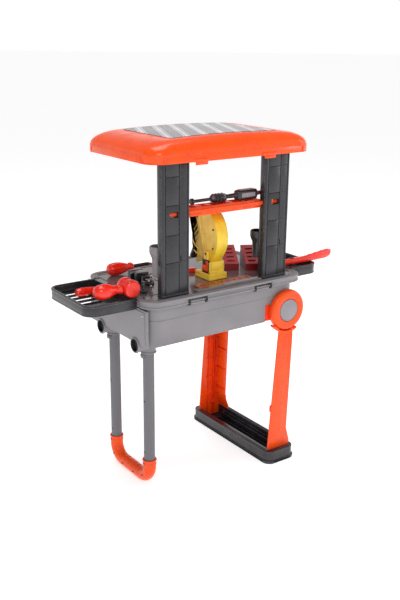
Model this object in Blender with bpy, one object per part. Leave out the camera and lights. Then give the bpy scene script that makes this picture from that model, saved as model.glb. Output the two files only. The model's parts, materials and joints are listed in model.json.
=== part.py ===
"""Toy workbench that packs into a trolley case.

The case tub is the table, the case lid is the roof on two posts, the pull handle
makes the left legs and a wheeled frame with a foot bar makes the right legs.
Metres, +Z up, +X along the case towards the wheels, +Y towards the child.
The finished bench stands on z = 0 with the middle of its bounding box at the origin.
"""

import math

import bmesh
import bpy
from mathutils import Matrix, Vector

# Driving dimensions.
CASE_LENGTH = 0.388
CASE_WIDTH = 0.254
CASE_CORNER = 0.034
TUB_BOTTOM = 0.3233
TUB_DEPTH = 0.0937
LID_DEPTH = 0.0440
POST_RISE = 0.2590
WALL = 0.0025
RIM_HEIGHT = 0.014
RIM_OVERHANG = 0.0115
TRAY_REACH = 0.107
TRAY_WIDTH = 0.167
TRAY_DEPTH = 0.021
TRAY_CORNER = 0.024
WHEEL_RADIUS = 0.0440
WHEEL_WIDTH = 0.0145
AXLE_RADIUS = 0.004
LEG_TUBE_RADIUS = 0.0115
LEG_TUBE_WALL = 0.0014
LEG_SPACING = 0.1352
GRIP_WALL = 0.0023
FOOT_WIDTH = 0.294
FOOT_LENGTH = 0.081
FOOT_HEIGHT = 0.027
POST_WIDTH = 0.0617
POST_THICKNESS = 0.0170
POST_SPACING = 0.2466
GUARD_RADIUS = 0.061
GUARD_WIDTH = 0.027
STRIP_HOLES = 8

# Clearances.
FIT = 0.0003
RUN = 0.0010

# Places that follow from the driving dimensions.
HALF_LENGTH = CASE_LENGTH / 2
HALF_WIDTH = CASE_WIDTH / 2
RIM_TOP = TUB_BOTTOM + TUB_DEPTH
RIM_BASE = RIM_TOP - RIM_HEIGHT
BODY_LEFT = -HALF_LENGTH + 0.008
BODY_RIGHT = HALF_LENGTH - 0.014
BODY_SIDE = HALF_WIDTH - RIM_OVERHANG
BODY_CORNER = CASE_CORNER - 0.006
WHEEL_X = HALF_LENGTH - 0.042
WHEEL_Z = TUB_BOTTOM + 0.0204
NOTCH_X = WHEEL_X - 0.0535
NOTCH_TOP = WHEEL_Z + 0.0163
LEG_X = -HALF_LENGTH + 0.034
LEG_Y = LEG_SPACING / 2
CHANNEL_Z = TUB_BOTTOM - 0.0053
CHANNEL_RADIUS = LEG_TUBE_RADIUS + 0.0035
CHANNEL_MOUTH_X = -HALF_LENGTH + 0.0015
CHANNEL_END_X = LEG_X + 0.030
SOCKET_MOUTH_Z = TUB_BOTTOM - 0.0263
BORE_TOP_Z = CHANNEL_Z + 0.0063
LEDGE_DEPTH = 0.0050
LEDGE_WIDTH = 0.0040
DECK_TOP = RIM_TOP
DECK_THICKNESS = 0.0047
POST_Y = -HALF_WIDTH + 0.0245
POST_TOP = RIM_TOP + POST_RISE + 0.024
LID_BOTTOM = RIM_TOP + POST_RISE
LID_BAND = 0.0155
LID_TOP = LID_BOTTOM + LID_DEPTH
BAR_BOTTOM = RIM_TOP + 0.1495
BAR_HEIGHT = 0.0165
BAR_DEPTH = 0.0315
BAR_Y = POST_Y + 0.0188
POST_GAP = POST_SPACING / 2 - POST_WIDTH / 2
BAR_HALF = POST_GAP - FIT
SAW_X = 0.0145
SAW_Y = POST_Y + 0.0880
SAW_Z = RIM_TOP + 0.088
SAW_PIVOT_Y = POST_Y + 0.0595
SAW_PIVOT_Z = RIM_TOP + 0.0535
BOARD_TURN = -28
TRAY_BOTTOM = RIM_TOP - 0.0195
TRAY_TOP = TRAY_BOTTOM + TRAY_DEPTH
TRAY_INNER_X = HALF_LENGTH + FIT
TRAY_OUTER_LEFT = HALF_LENGTH + TRAY_REACH
TRAY_OUTER_RIGHT = HALF_LENGTH + 0.082
TRAY_FLOOR = TRAY_BOTTOM + WALL
LIP_TOP = RIM_TOP + 0.0022
HUB_RADIUS = 0.0238
HUB_THICKNESS = 0.0030
ROUNDING = 0.0060
HOUSING_OUTER = BODY_SIDE - FIT
HOUSING_INNER = HOUSING_OUTER - 0.0147
WHEEL_INNER = BODY_SIDE + RUN
WHEEL_OUTER = WHEEL_INNER + WHEEL_WIDTH
ARM_OUTER = WHEEL_OUTER - 0.0003
ARM_WALL = 0.0035
ARM_WEB_X = WHEEL_X + 0.0115
ARM_WEB_INNER = HOUSING_INNER - 0.0185
ARM_TOP_LEFT = WHEEL_X - 0.0254
ARM_FOOT_LEFT = WHEEL_X - 0.0395
FOOT_X = WHEEL_X - 0.017

# Handle channels, liners, snap buttons and grip.
LINER_RADIUS = LEG_TUBE_RADIUS + 0.0016
LINER_LENGTH = 0.0150
BUTTON_RADIUS = 0.0055
BUTTON_Z = SOCKET_MOUTH_Z - 0.0045
GRIP_RADIUS = LEG_TUBE_RADIUS + GRIP_WALL
GRIP_BEND = 0.030
GRIP_SIDES = 14
COLLAR_TOP = 0.0605
TUBE_TOP = BORE_TOP_Z - FIT
TUBE_BOTTOM = GRIP_RADIUS + GRIP_BEND - 0.0035

# Latches, leg arms and foot.
LATCH_X = (-0.0820, 0.0820)
ARM_BOTTOM = 0.0045
ARM_CUP = 0.0050
WIDEN_HIGH = WHEEL_Z - 0.130
WIDEN_LOW = WHEEL_Z - 0.200

# Posts and the tongues of the crossbar.
POSTS = {"post_left": -POST_SPACING / 2, "post_right": POST_SPACING / 2}
TENON = 0.040
WINDOW_LOW = BAR_BOTTOM + 0.0050
WINDOW_HIGH = BAR_BOTTOM + 0.0165
TONGUE_LOW = BAR_BOTTOM + 0.0065
TONGUE_HIGH = BAR_BOTTOM + 0.0135

# Lid: it stands a little towards the wheels on its posts, and its crown is a quarter ellipse.
LID_SHIFT = 0.005
LID_LIP = 0.0038
LID_NEAR = HALF_WIDTH + LID_LIP
LID_BACK = HALF_WIDTH - LID_LIP
CROWN_STEPS = 7
CROWN_INSET_X = 0.046
CROWN_INSET_Y = 0.032
LID_SAG = 0.0075
LID_FLAT = 0.0009

# Toy saw.
SAW_BASE_TOP = DECK_TOP + 0.0135
SAW_CHORD_Y = POST_Y + 0.0745
SAW_CHORD_Z = SAW_Z - 0.035
SAW_CHORD_LEAN = 0.2877
BLADE_RADIUS = 0.030
BLADE_Y = SAW_Y - 0.0095
BLADE_Z = SAW_Z + 0.007
SPINDLE_RADIUS = 0.0030
PIN_RADIUS = 0.0030
EAR = 0.0050

# Practice boards and tool cups.
BOARD_LENGTH = 0.070
BOARD_WIDTH = 0.0315
BOARD_FRONT = 0.0137
BOARD_BACK = 0.0385
BOARD_SLOTS = 4
BOARD_PLACES = ((0.0677, -0.0130), (0.1055, -0.0375))
CUP_RADIUS = 0.0157
CUP_LOW = 0.040
CUP_HIGH = 0.097


def clear_scene():
    for old in list(bpy.data.objects):
        bpy.data.objects.remove(old, do_unlink=True)


def new_collection(name, hidden=False):
    made = bpy.data.collections.new(name)
    made.hide_render = hidden
    bpy.context.scene.collection.children.link(made)
    return made


clear_scene()
PARTS = new_collection("toy_workbench")
TOOLS = new_collection("cutters", hidden=True)


def plastic(name, colour, roughness=0.45, metallic=0.0):
    """A Principled material of one moulded plastic or metal."""
    made = bpy.data.materials.new(name)
    made.use_nodes = True
    shader = made.node_tree.nodes["Principled BSDF"]
    shader.inputs["Base Color"].default_value = (*colour, 1.0)
    shader.inputs["Roughness"].default_value = roughness
    shader.inputs["Metallic"].default_value = metallic
    return made


GREY = plastic("grey_polypropylene", (0.33, 0.32, 0.33))
BLACK = plastic("black_polypropylene", (0.035, 0.035, 0.04))
CHARCOAL = plastic("charcoal_polypropylene", (0.055, 0.055, 0.06))
ORANGE = plastic("orange_abs", (0.95, 0.11, 0.02), 0.35)
YELLOW = plastic("yellow_abs", (0.90, 0.64, 0.05), 0.35)
RED = plastic("red_abs", (0.75, 0.03, 0.02), 0.35)
SILVER = plastic("silver_abs", (0.55, 0.55, 0.56), 0.3)
STEEL = plastic("plated_steel", (0.62, 0.62, 0.64), 0.25, 1.0)
PRINTED = plastic("printed_film", (0.52, 0.50, 0.52), 0.3)


def own(name, mesh, material, cutter=False):
    """Links a mesh as a named part or as a hidden cutter."""
    made = bpy.data.objects.new(name, mesh)
    (TOOLS if cutter else PARTS).objects.link(made)
    mesh.materials.append(material)
    if cutter:
        made.hide_render = True
        made.display_type = "WIRE"
    mesh.shade_smooth()
    mesh.set_sharp_from_angle(angle=math.radians(35))
    return made


def from_bmesh(name, bm, material, cutter=False):
    bmesh.ops.recalc_face_normals(bm, faces=bm.faces[:])
    mesh = bpy.data.meshes.new(name)
    bm.to_mesh(mesh)
    bm.free()
    return own(name, mesh, material, cutter)


def box_bmesh(low, high):
    bm = bmesh.new()
    low, high = Vector(low), Vector(high)
    place = Matrix.Translation((low + high) / 2) @ Matrix.Diagonal((*(high - low), 1.0))
    bmesh.ops.create_cube(bm, size=1.0, matrix=place)
    return bm


def box(name, low, high, material, bevel=0.0, cutter=False, turn=None):
    """A box from corner to corner, with rounded edges where bevel is given."""
    bm = box_bmesh(low, high)
    if bevel:
        bmesh.ops.bevel(bm, geom=bm.edges[:], offset=bevel, segments=2, affect="EDGES", profile=0.5)
    if turn is not None:
        bmesh.ops.transform(bm, matrix=turn, verts=bm.verts[:])
    return from_bmesh(name, bm, material, cutter)


def slab_bmesh(low, high, radius, segments=6):
    """A box whose four vertical edges are rounded."""
    bm = box_bmesh(low, high)
    upright = [e for e in bm.edges if abs((e.verts[0].co - e.verts[1].co).z) > 1e-6]
    bmesh.ops.bevel(bm, geom=upright, offset=radius, segments=segments, affect="EDGES", profile=0.5)
    return bm


def slab(name, low, high, radius, material, cutter=False, segments=6):
    return from_bmesh(name, slab_bmesh(low, high, radius, segments), material, cutter)


def along(axis):
    """The turn that takes +Z to the named axis."""
    turns = {
        "X": Matrix.Rotation(math.pi / 2, 4, "Y"),
        "Y": Matrix.Rotation(-math.pi / 2, 4, "X"),
        "Z": Matrix.Identity(4),
    }
    return turns[axis]


def rod(name, radius, start, end, centre, axis, material, cutter=False, sides=32, tip=None):
    """A cylinder or cone along an axis, from start to end, centred on the other two coordinates."""
    bm = bmesh.new()
    bmesh.ops.create_cone(
        bm,
        cap_ends=True,
        segments=sides,
        radius1=radius,
        radius2=radius if tip is None else tip,
        depth=end - start,
    )
    place = Vector(centre)
    place["XYZ".index(axis)] = (start + end) / 2
    bmesh.ops.transform(bm, matrix=Matrix.Translation(place) @ along(axis), verts=bm.verts[:])
    return from_bmesh(name, bm, material, cutter)


def turned(name, profile, centre, axis, material, cutter=False, steps=32):
    """A solid turned about an axis from (radius, height) points, lowest point first."""
    bm = bmesh.new()
    rings = []
    for radius, height in profile:
        rings.append(bm.verts.new((radius, 0.0, height)))
    edges = [bm.edges.new(pair) for pair in zip(rings, rings[1:])]
    bmesh.ops.spin(
        bm, geom=rings + edges, cent=(0, 0, 0), axis=(0, 0, 1), angle=2 * math.pi, steps=steps, use_merge=True
    )
    bmesh.ops.remove_doubles(bm, verts=bm.verts[:], dist=1e-6)
    bmesh.ops.transform(bm, matrix=Matrix.Translation(centre) @ along(axis), verts=bm.verts[:])
    return from_bmesh(name, bm, material, cutter)


def tube_along(name, points, radius, material, sides=4, cutter=False):
    """A round bar along a list of points, as a closed mesh."""
    data = bpy.data.curves.new(name, "CURVE")
    data.dimensions = "3D"
    data.bevel_depth = radius
    data.bevel_resolution = sides
    data.use_fill_caps = True
    spline = data.splines.new("POLY")
    spline.points.add(len(points) - 1)
    for at, point in zip(spline.points, points):
        at.co = (*point, 1.0)
    guide = bpy.data.objects.new(name + "_guide", data)
    bpy.context.scene.collection.objects.link(guide)
    graph = bpy.context.evaluated_depsgraph_get()
    mesh = bpy.data.meshes.new_from_object(guide.evaluated_get(graph))
    bpy.data.objects.remove(guide, do_unlink=True)
    bm = bmesh.new()
    bm.from_mesh(mesh)
    bmesh.ops.remove_doubles(bm, verts=bm.verts[:], dist=1e-6)
    bpy.data.meshes.remove(mesh)
    return from_bmesh(name, bm, material, cutter)


def outline(name, points, low, high, axis, material, cutter=False):
    """A flat outline given in two coordinates, thickened from low to high along the third axis."""
    bm = bmesh.new()
    third = "XYZ".index(axis)
    corners = []
    for first, second in points:
        place = [first, second]
        place.insert(third, low)
        corners.append(bm.verts.new(place))
    face = bm.faces.new(corners)
    grown = bmesh.ops.extrude_face_region(bm, geom=[face])["geom"]
    shift = [0.0, 0.0, 0.0]
    shift[third] = high - low
    bmesh.ops.translate(bm, vec=shift, verts=[v for v in grown if isinstance(v, bmesh.types.BMVert)])
    return from_bmesh(name, bm, material, cutter)


def boolean(target, tool, operation):
    step = target.modifiers.new(tool.name, "BOOLEAN")
    step.operation = operation
    step.object = tool
    step.solver = "EXACT"
    return target


def cut(target, *tools):
    for tool in tools:
        boolean(target, tool, "DIFFERENCE")
    return target


def join(target, *tools):
    for tool in tools:
        boolean(target, tool, "UNION")
    return target


def about(obj, pivot):
    """Moves an object's origin to a point without moving its mesh."""
    obj.data.transform(Matrix.Translation(-Vector(pivot)))
    obj.location = pivot
    return obj


def arc(cx, cy, radius, start, end, steps):
    """Points on an arc between two angles in degrees."""
    turns = [math.radians(start + (end - start) * i / steps) for i in range(steps + 1)]
    return [(cx + radius * math.cos(t), cy + radius * math.sin(t)) for t in turns]


# Case tub and what is fixed to it.


def tub_grooves(radius, tag):
    """Two grooves under the floor, in which the handle tubes are stored."""
    return [
        rod(f"{tag}_{side}", radius, -HALF_LENGTH - 0.02, NOTCH_X + 0.02,
            (0, sign * LEG_Y, CHANNEL_Z), "X", GREY, cutter=True)
        for side, sign in (("near", -1), ("far", 1))
    ]


def tub_cavity():
    """The inside of the tub, which steps round the wheel notch and over the handle grooves."""
    cavity = slab("tub_inside", (BODY_LEFT + WALL, -BODY_SIDE + WALL, TUB_BOTTOM + WALL),
                  (BODY_RIGHT - WALL, BODY_SIDE - WALL, RIM_TOP + 0.01), BODY_CORNER - WALL, GREY,
                  cutter=True)
    step = box("notch_wall", (NOTCH_X - WALL, -0.3, TUB_BOTTOM - 0.02),
               (HALF_LENGTH + 0.1, 0.3, NOTCH_TOP + WALL), GREY, cutter=True)
    return cut(cavity, step, *tub_grooves(CHANNEL_RADIUS + FIT + WALL, "groove_wall"))


def ledge(grow, low, high):
    """The shallow step round the mouth of the tub and the deck panel that drops into it."""
    reach = LEDGE_WIDTH - WALL - grow
    return slab_bmesh((BODY_LEFT - reach, -BODY_SIDE - reach, low),
                      (BODY_RIGHT + reach, BODY_SIDE + reach, high), BODY_CORNER + reach)


def latch_recess(index, x):
    return box(f"latch_recess_{index}", (x - 0.0235, -HALF_WIDTH - 0.01, RIM_BASE - 0.0030),
               (x + 0.0235, -HALF_WIDTH + 0.0050, RIM_BASE + 0.0095), GREY, cutter=True)


def case_tub():
    tub = slab("case_tub", (BODY_LEFT, -BODY_SIDE, TUB_BOTTOM), (BODY_RIGHT, BODY_SIDE, RIM_BASE + 0.005),
               BODY_CORNER, GREY)
    rim = slab("tub_rim", (-HALF_LENGTH, -HALF_WIDTH, RIM_BASE), (HALF_LENGTH, HALF_WIDTH, RIM_TOP),
               CASE_CORNER, GREY, cutter=True)
    notch = box("wheel_notch", (NOTCH_X, -0.3, TUB_BOTTOM - 0.05), (HALF_LENGTH + 0.1, 0.3, NOTCH_TOP),
                GREY, cutter=True)
    mouth = from_bmesh("tub_ledge", ledge(0.0, RIM_TOP - LEDGE_DEPTH, RIM_TOP + 0.01), GREY, cutter=True)
    join(tub, rim)
    cut(tub, notch, *tub_grooves(CHANNEL_RADIUS + FIT, "groove"), tub_cavity(), mouth)
    cut(tub, *[latch_recess(i + 1, x) for i, x in enumerate(LATCH_X)])
    return tub


def deck_panel():
    """Work surface: a panel on the tub's ledge with a raised bar between the posts and post sockets."""
    panel = from_bmesh("deck_panel", ledge(FIT, DECK_TOP - DECK_THICKNESS, DECK_TOP), GREY)
    bar = box("deck_bar", (-POST_GAP + 0.0184, -BODY_SIDE + 0.0010, DECK_TOP - 0.001),
              (POST_GAP - 0.0044, -BODY_SIDE + 0.0150, DECK_TOP + 0.0055), GREY, 0.002, cutter=True)
    join(panel, bar)
    for name, x in POSTS.items():
        cut(panel, box(f"{name}_socket", (x - TENON / 2 - FIT, POST_Y - 0.004 - FIT, DECK_TOP - 0.02),
                       (x + TENON / 2 + FIT, POST_Y + 0.004 + FIT, DECK_TOP + 0.02), GREY, cutter=True))
    return panel


def end_bracket():
    """Plate on the left end of the tub with the handle channels and the leg sockets."""
    plate = box("end_bracket", (BODY_LEFT - FIT - 0.0037, -BODY_SIDE + 0.0045, TUB_BOTTOM),
                (BODY_LEFT - FIT, BODY_SIDE - 0.0045, TRAY_BOTTOM - FIT), GREY)
    for side, sign in (("near", -1), ("far", 1)):
        y = sign * LEG_Y
        join(plate, rod(f"channel_{side}", CHANNEL_RADIUS, CHANNEL_MOUTH_X, CHANNEL_END_X, (0, y, CHANNEL_Z),
                        "X", GREY, cutter=True),
             rod(f"socket_{side}", CHANNEL_RADIUS - 0.0005, SOCKET_MOUTH_Z, CHANNEL_Z, (LEG_X, y, 0), "Z",
                 GREY,
                 cutter=True))
    for side, sign in (("near", -1), ("far", 1)):
        y = sign * LEG_Y
        cut(plate, rod(f"channel_bore_{side}", LEG_TUBE_RADIUS + 0.0007, CHANNEL_MOUTH_X - 0.01,
                       CHANNEL_END_X + 0.01, (0, y, CHANNEL_Z), "X", GREY, cutter=True),
            rod(f"liner_bore_{side}", LINER_RADIUS + FIT, CHANNEL_MOUTH_X - 0.01,
                CHANNEL_MOUTH_X + LINER_LENGTH + FIT,
                (0, y, CHANNEL_Z), "X", GREY, cutter=True),
            rod(f"leg_bore_{side}", LEG_TUBE_RADIUS + FIT, SOCKET_MOUTH_Z - 0.01, BORE_TOP_Z, (LEG_X, y, 0),
                "Z", GREY, cutter=True),
            rod(f"button_notch_{side}", BUTTON_RADIUS + RUN, LEG_X - 0.03, LEG_X, (0, y, BUTTON_Z), "X", GREY,
                cutter=True))
    return plate


def channel_liners():
    for side, sign in (("near", -1), ("far", 1)):
        liner = rod(f"channel_liner_{side}", LINER_RADIUS, CHANNEL_MOUTH_X, CHANNEL_MOUTH_X + LINER_LENGTH,
                    (0, sign * LEG_Y, CHANNEL_Z), "X", BLACK)
        cut(liner, rod(f"liner_hole_{side}", LEG_TUBE_RADIUS + FIT, CHANNEL_MOUTH_X - 0.01,
                       CHANNEL_MOUTH_X + LINER_LENGTH + 0.01, (0, sign * LEG_Y, CHANNEL_Z), "X", BLACK,
                       cutter=True))


# Handle assembly: two tubes, the grip and the snap buttons.


def leg_tubes():
    for side, sign in (("near", -1), ("far", 1)):
        y = sign * LEG_Y
        tube = rod(f"leg_tube_{side}", LEG_TUBE_RADIUS, TUBE_BOTTOM, TUBE_TOP, (LEG_X, y, 0), "Z", GREY)
        cut(tube, rod(f"tube_bore_{side}", LEG_TUBE_RADIUS - LEG_TUBE_WALL, TUBE_BOTTOM - 0.01,
                      TUBE_TOP + 0.01,
                      (LEG_X, y, 0), "Z", GREY, cutter=True),
            rod(f"button_hole_{side}", BUTTON_RADIUS + FIT, LEG_X - 0.02, LEG_X, (0, y, BUTTON_Z), "X", GREY,
                cutter=True))
        for level, z in (("low", COLLAR_TOP + 0.0170), ("high", COLLAR_TOP + 0.1320)):
            cut(tube, rod(f"lock_hole_{level}_{side}", 0.0024, LEG_X - 0.02, LEG_X, (0, y, z), "X", GREY,
                          cutter=True, sides=16))


def handle_grip():
    """U-shaped grip: two collars that take the tubes and a bar that stands on the floor."""
    centre = GRIP_RADIUS * math.cos(math.pi / GRIP_SIDES) + GRIP_BEND
    inner = LEG_Y - GRIP_BEND
    near = [(-LEG_Y, COLLAR_TOP)] + arc(-inner, centre, GRIP_BEND, 180, 270, 6)
    far = arc(inner, centre, GRIP_BEND, 270, 360, 6) + [(LEG_Y, COLLAR_TOP)]
    grip = tube_along("handle_grip", [(LEG_X, y, z) for y, z in near + far], GRIP_RADIUS, ORANGE,
                      sides=GRIP_SIDES // 2 - 2)
    for side, sign in (("near", -1), ("far", 1)):
        y = sign * LEG_Y
        join(grip, rod(f"collar_{side}", GRIP_RADIUS + 0.0008, COLLAR_TOP - 0.003, COLLAR_TOP + 0.0004,
                       (LEG_X, y, 0), "Z", ORANGE, cutter=True))
        cut(grip, rod(f"grip_bore_{side}", LEG_TUBE_RADIUS + FIT, TUBE_BOTTOM - FIT, COLLAR_TOP + 0.01,
                      (LEG_X, y, 0), "Z", ORANGE, cutter=True))
    return grip


def snap_buttons():
    for side, sign in (("near", -1), ("far", 1)):
        button = rod(f"snap_button_{side}", BUTTON_RADIUS, LEG_X - 0.0178, LEG_X - 0.0064,
                     (0, sign * LEG_Y, BUTTON_Z), "X", SILVER, sides=24)
        join(button, rod(f"button_flange_{side}", BUTTON_RADIUS + 0.0010, LEG_X - 0.0070, LEG_X - 0.0055,
                         (0, sign * LEG_Y, BUTTON_Z), "X", SILVER, cutter=True, sides=24))
        about(button, (LEG_X - 0.012, sign * LEG_Y, BUTTON_Z))


# Wheels and the right leg frame.


def axle():
    return rod("wheel_axle", AXLE_RADIUS, -WHEEL_OUTER + 0.0045, WHEEL_OUTER - 0.0045,
               (WHEEL_X, 0, WHEEL_Z), "Y", STEEL, sides=24)


def axle_hole(tag, low, high, clearance=FIT):
    return rod(tag, AXLE_RADIUS + clearance, low, high, (WHEEL_X, 0, WHEEL_Z), "Y", STEEL, cutter=True,
               sides=24)


def wheel_housings():
    """Blocks in the tub's notch that carry the axle."""
    for side, sign in (("near", -1), ("far", 1)):
        ends = sorted((sign * HOUSING_INNER, sign * HOUSING_OUTER))
        housing = box(f"wheel_housing_{side}", (NOTCH_X + FIT, ends[0], TUB_BOTTOM + 0.0025),
                      (WHEEL_X + 0.018, ends[1], NOTCH_TOP - FIT), ORANGE)
        cut(housing, axle_hole(f"housing_hole_{side}", ends[0] - 0.01, ends[1] + 0.01))


def wheels():
    for side, sign in (("near", -1), ("far", 1)):
        inner, outer = sign * WHEEL_INNER, sign * WHEEL_OUTER
        ends = sorted((inner, outer))
        shoulder = [(WHEEL_RADIUS - ROUNDING + x, WHEEL_WIDTH - ROUNDING + z) for x, z in
                    arc(0, 0, ROUNDING, 0, 80, 4)]
        profile = [(0, 0), (WHEEL_RADIUS - 0.0012, 0), (WHEEL_RADIUS, 0.0012)] + shoulder
        profile += [(HUB_RADIUS + 0.003, WHEEL_WIDTH), (0, WHEEL_WIDTH)]
        if sign < 0:
            profile = [(r, -z) for r, z in reversed(profile)]
        wheel = turned(f"wheel_{side}", profile, (WHEEL_X, inner, WHEEL_Z), "Y", ORANGE, steps=48)
        pocket = sorted((outer - sign * (HUB_THICKNESS + FIT), outer + sign * 0.01))
        cut(wheel, rod(f"hub_pocket_{side}", HUB_RADIUS + FIT, pocket[0], pocket[1], (WHEEL_X, 0, WHEEL_Z),
                       "Y",
                       ORANGE, cutter=True, sides=48),
            axle_hole(f"wheel_hole_{side}", ends[0] - 0.01, ends[1] + 0.01))
        about(wheel, (WHEEL_X, 0, WHEEL_Z))
        cap_ends = sorted((outer, outer - sign * HUB_THICKNESS))
        cap = rod(f"hub_cap_{side}", HUB_RADIUS, cap_ends[0], cap_ends[1], (WHEEL_X, 0, WHEEL_Z), "Y",
                  GREY, sides=48)
        about(cap, (WHEEL_X, 0, WHEEL_Z))


def leg_arms():
    """Angle-section arms: an outer wall under the wheel, a web, a curved guard and an eye on the axle."""
    for side, sign in (("near", -1), ("far", 1)):
        wall = sorted((sign * ARM_OUTER, sign * (ARM_OUTER - ARM_WALL)))
        top = WHEEL_Z - 0.030
        shape = [(ARM_WEB_X, ARM_BOTTOM), (ARM_WEB_X, top), (ARM_TOP_LEFT, top), (ARM_TOP_LEFT, WIDEN_HIGH),
                 (ARM_TOP_LEFT - 0.0080, WIDEN_LOW), (ARM_TOP_LEFT - 0.0115, WIDEN_LOW - 0.009),
                 (ARM_FOOT_LEFT, FOOT_HEIGHT), (ARM_FOOT_LEFT, ARM_BOTTOM)]
        arm = outline(f"leg_arm_{side}", shape, wall[0], wall[1], "Y", ORANGE)
        web = sorted((sign * (ARM_OUTER - 0.001), sign * ARM_WEB_INNER))
        lug = sorted((sign * (HOUSING_INNER - RUN), sign * (HOUSING_INNER - 0.0155)))
        reach = WHEEL_RADIUS + 0.0015
        band = arc(WHEEL_X, WHEEL_Z, reach + ARM_CUP, 218, 300, 14) + arc(WHEEL_X, WHEEL_Z, reach - 0.002,
                                                                          300, 218, 14)
        band_ends = sorted((sign * (ARM_OUTER - 0.0002), sign * (WHEEL_INNER + 0.001)))
        join(arm, box(f"arm_web_{side}", (ARM_WEB_X - ARM_WALL, web[0], ARM_BOTTOM),
                      (ARM_WEB_X, web[1], top), ORANGE, cutter=True),
             outline(f"arm_band_{side}", band, band_ends[0], band_ends[1], "Y", ORANGE, cutter=True),
             box(f"arm_lug_{side}", (ARM_WEB_X - 0.0110, lug[0], WHEEL_Z - 0.058),
                 (ARM_WEB_X - 0.0002, lug[1], WHEEL_Z), ORANGE, cutter=True),
             rod(f"arm_eye_{side}", 0.0153, lug[0], lug[1], (WHEEL_X, 0, WHEEL_Z), "Y", ORANGE, cutter=True))
        cup = sorted((sign * (HOUSING_INNER - RUN + FIT), sign * 0.2))
        cut(arm, rod(f"arm_cup_{side}", reach, cup[0], cup[1], (WHEEL_X, 0, WHEEL_Z), "Y", ORANGE,
                     cutter=True, sides=64),
            axle_hole(f"arm_hole_{side}", lug[0] - 0.01, lug[1] + 0.01))
        about(arm, (WHEEL_X, 0, WHEEL_Z))


def foot_base():
    """Foot bar: a long open trough with a flared lip, with the arms in its ends."""
    half = FOOT_WIDTH / 2
    low_x, high_x = FOOT_X - FOOT_LENGTH / 2, FOOT_X + FOOT_LENGTH / 2
    foot = slab("foot_base", (low_x, -half, 0), (high_x, half, 0.006), 0.018, BLACK)
    body = slab("foot_body", (low_x + 0.003, -half + 0.003, 0.003),
                (high_x - 0.003, half - 0.003, FOOT_HEIGHT),
                0.016, BLACK, cutter=True)
    pocket = slab("foot_pocket", (ARM_FOOT_LEFT - FIT, -ARM_OUTER - FIT, ARM_BOTTOM - FIT),
                  (ARM_WEB_X + FIT, ARM_OUTER + FIT, FOOT_HEIGHT + 0.01), 0.0002, BLACK, cutter=True,
                  segments=1)
    join(foot, body)
    cut(foot, pocket)
    about(foot, (WHEEL_X, 0, WHEEL_Z))
    return foot


# Posts, crossbar and roof.


def posts():
    """Flat posts: a tenon below, a recessed strip on the outer face, a window over the bar's tongue."""
    near, far = POST_Y - POST_THICKNESS / 2, POST_Y + POST_THICKNESS / 2
    for name, x in POSTS.items():
        low, high = x - POST_WIDTH / 2, x + POST_WIDTH / 2
        post = box(name, (low, near, DECK_TOP + FIT), (high, far, POST_TOP), CHARCOAL)
        tenon = box(f"{name}_tenon", (x - TENON / 2, POST_Y - 0.004, DECK_TOP - DECK_THICKNESS + 0.0002),
                    (x + TENON / 2, POST_Y + 0.004, DECK_TOP + 0.003), CHARCOAL, cutter=True)
        strip = box(f"{name}_recess", (low + 0.66 * POST_WIDTH, near - 0.01, DECK_TOP + 0.004),
                    (high + 0.01, near + 0.002, POST_TOP + 0.01), CHARCOAL, cutter=True)
        inward = 1 if x < 0 else -1
        mouth = x + inward * (POST_WIDTH / 2 + 0.01)
        stop = x - inward * 0.0140
        slot_ends = sorted((mouth, stop))
        slot = box(f"{name}_slot", (slot_ends[0], BAR_Y - BAR_DEPTH / 2 - 0.0052 - FIT, TONGUE_LOW - FIT),
                   (slot_ends[1], BAR_Y - BAR_DEPTH / 2 + 0.0048 + FIT, TONGUE_HIGH + FIT), CHARCOAL,
                   cutter=True)
        window = box(f"{name}_window", (x - 0.0140, near - 0.01, WINDOW_LOW),
                     (x + 0.0060, POST_Y, WINDOW_HIGH),
                     CHARCOAL, cutter=True)
        join(post, tenon)
        cut(post, strip, slot, window)


def crossbar():
    """Tool rail between the posts, with a tongue into each post."""
    near, far = BAR_Y - BAR_DEPTH / 2, BAR_Y + BAR_DEPTH / 2
    bar = box("crossbar", (-BAR_HALF, near, BAR_BOTTOM), (BAR_HALF, far, BAR_BOTTOM + BAR_HEIGHT), ORANGE)
    reach = POST_SPACING / 2 + 0.0140 - FIT
    tongue = box("bar_tongue", (-reach, near - 0.0052, TONGUE_LOW), (reach, near + 0.0048, TONGUE_HIGH),
                 ORANGE,
                 cutter=True)
    trim = box("bar_tongue_trim", (-BAR_HALF + 0.001, near - 0.02, TONGUE_LOW - 0.01),
               (BAR_HALF - 0.001, near, TONGUE_HIGH + 0.01), ORANGE, cutter=True)
    trough = box("bar_trough", (-BAR_HALF + 0.006, near + 0.005, BAR_BOTTOM + BAR_HEIGHT - 0.004),
                 (BAR_HALF - 0.006, far - 0.005, BAR_BOTTOM + BAR_HEIGHT + 0.01), ORANGE, cutter=True)
    join(bar, tongue)
    cut(bar, trim, trough)
    return bar


def crown(x):
    """Height of the lid's arch along the case; it falls away from the middle to both ends."""
    return -LID_SAG * ((x - LID_SHIFT) / HALF_LENGTH) ** 2


def rounded_ring(bm, half_x, half_y, radius, level, share, per_corner=6, per_side=8):
    """One level of a rounded rectangle as new vertices, with the arch added in proportion to share."""
    ring = []
    middle = (LID_BACK - LID_NEAR) / 2
    for turn, (sx, sy) in enumerate(((1, 1), (-1, 1), (-1, -1), (1, -1))):
        cx, cy = sx * (half_x - radius) + LID_SHIFT, sy * (half_y - radius) + middle
        points = arc(cx, cy, radius, 90 * turn, 90 * turn + 90, per_corner)
        if turn in (0, 2):
            run = 2 * (half_x - radius) * sx
            points += [(cx - run * i / per_side, cy + sy * radius) for i in range(1, per_side)]
        ring += [bm.verts.new((x, y, level + share * crown(x))) for x, y in points]
    return ring


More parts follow.
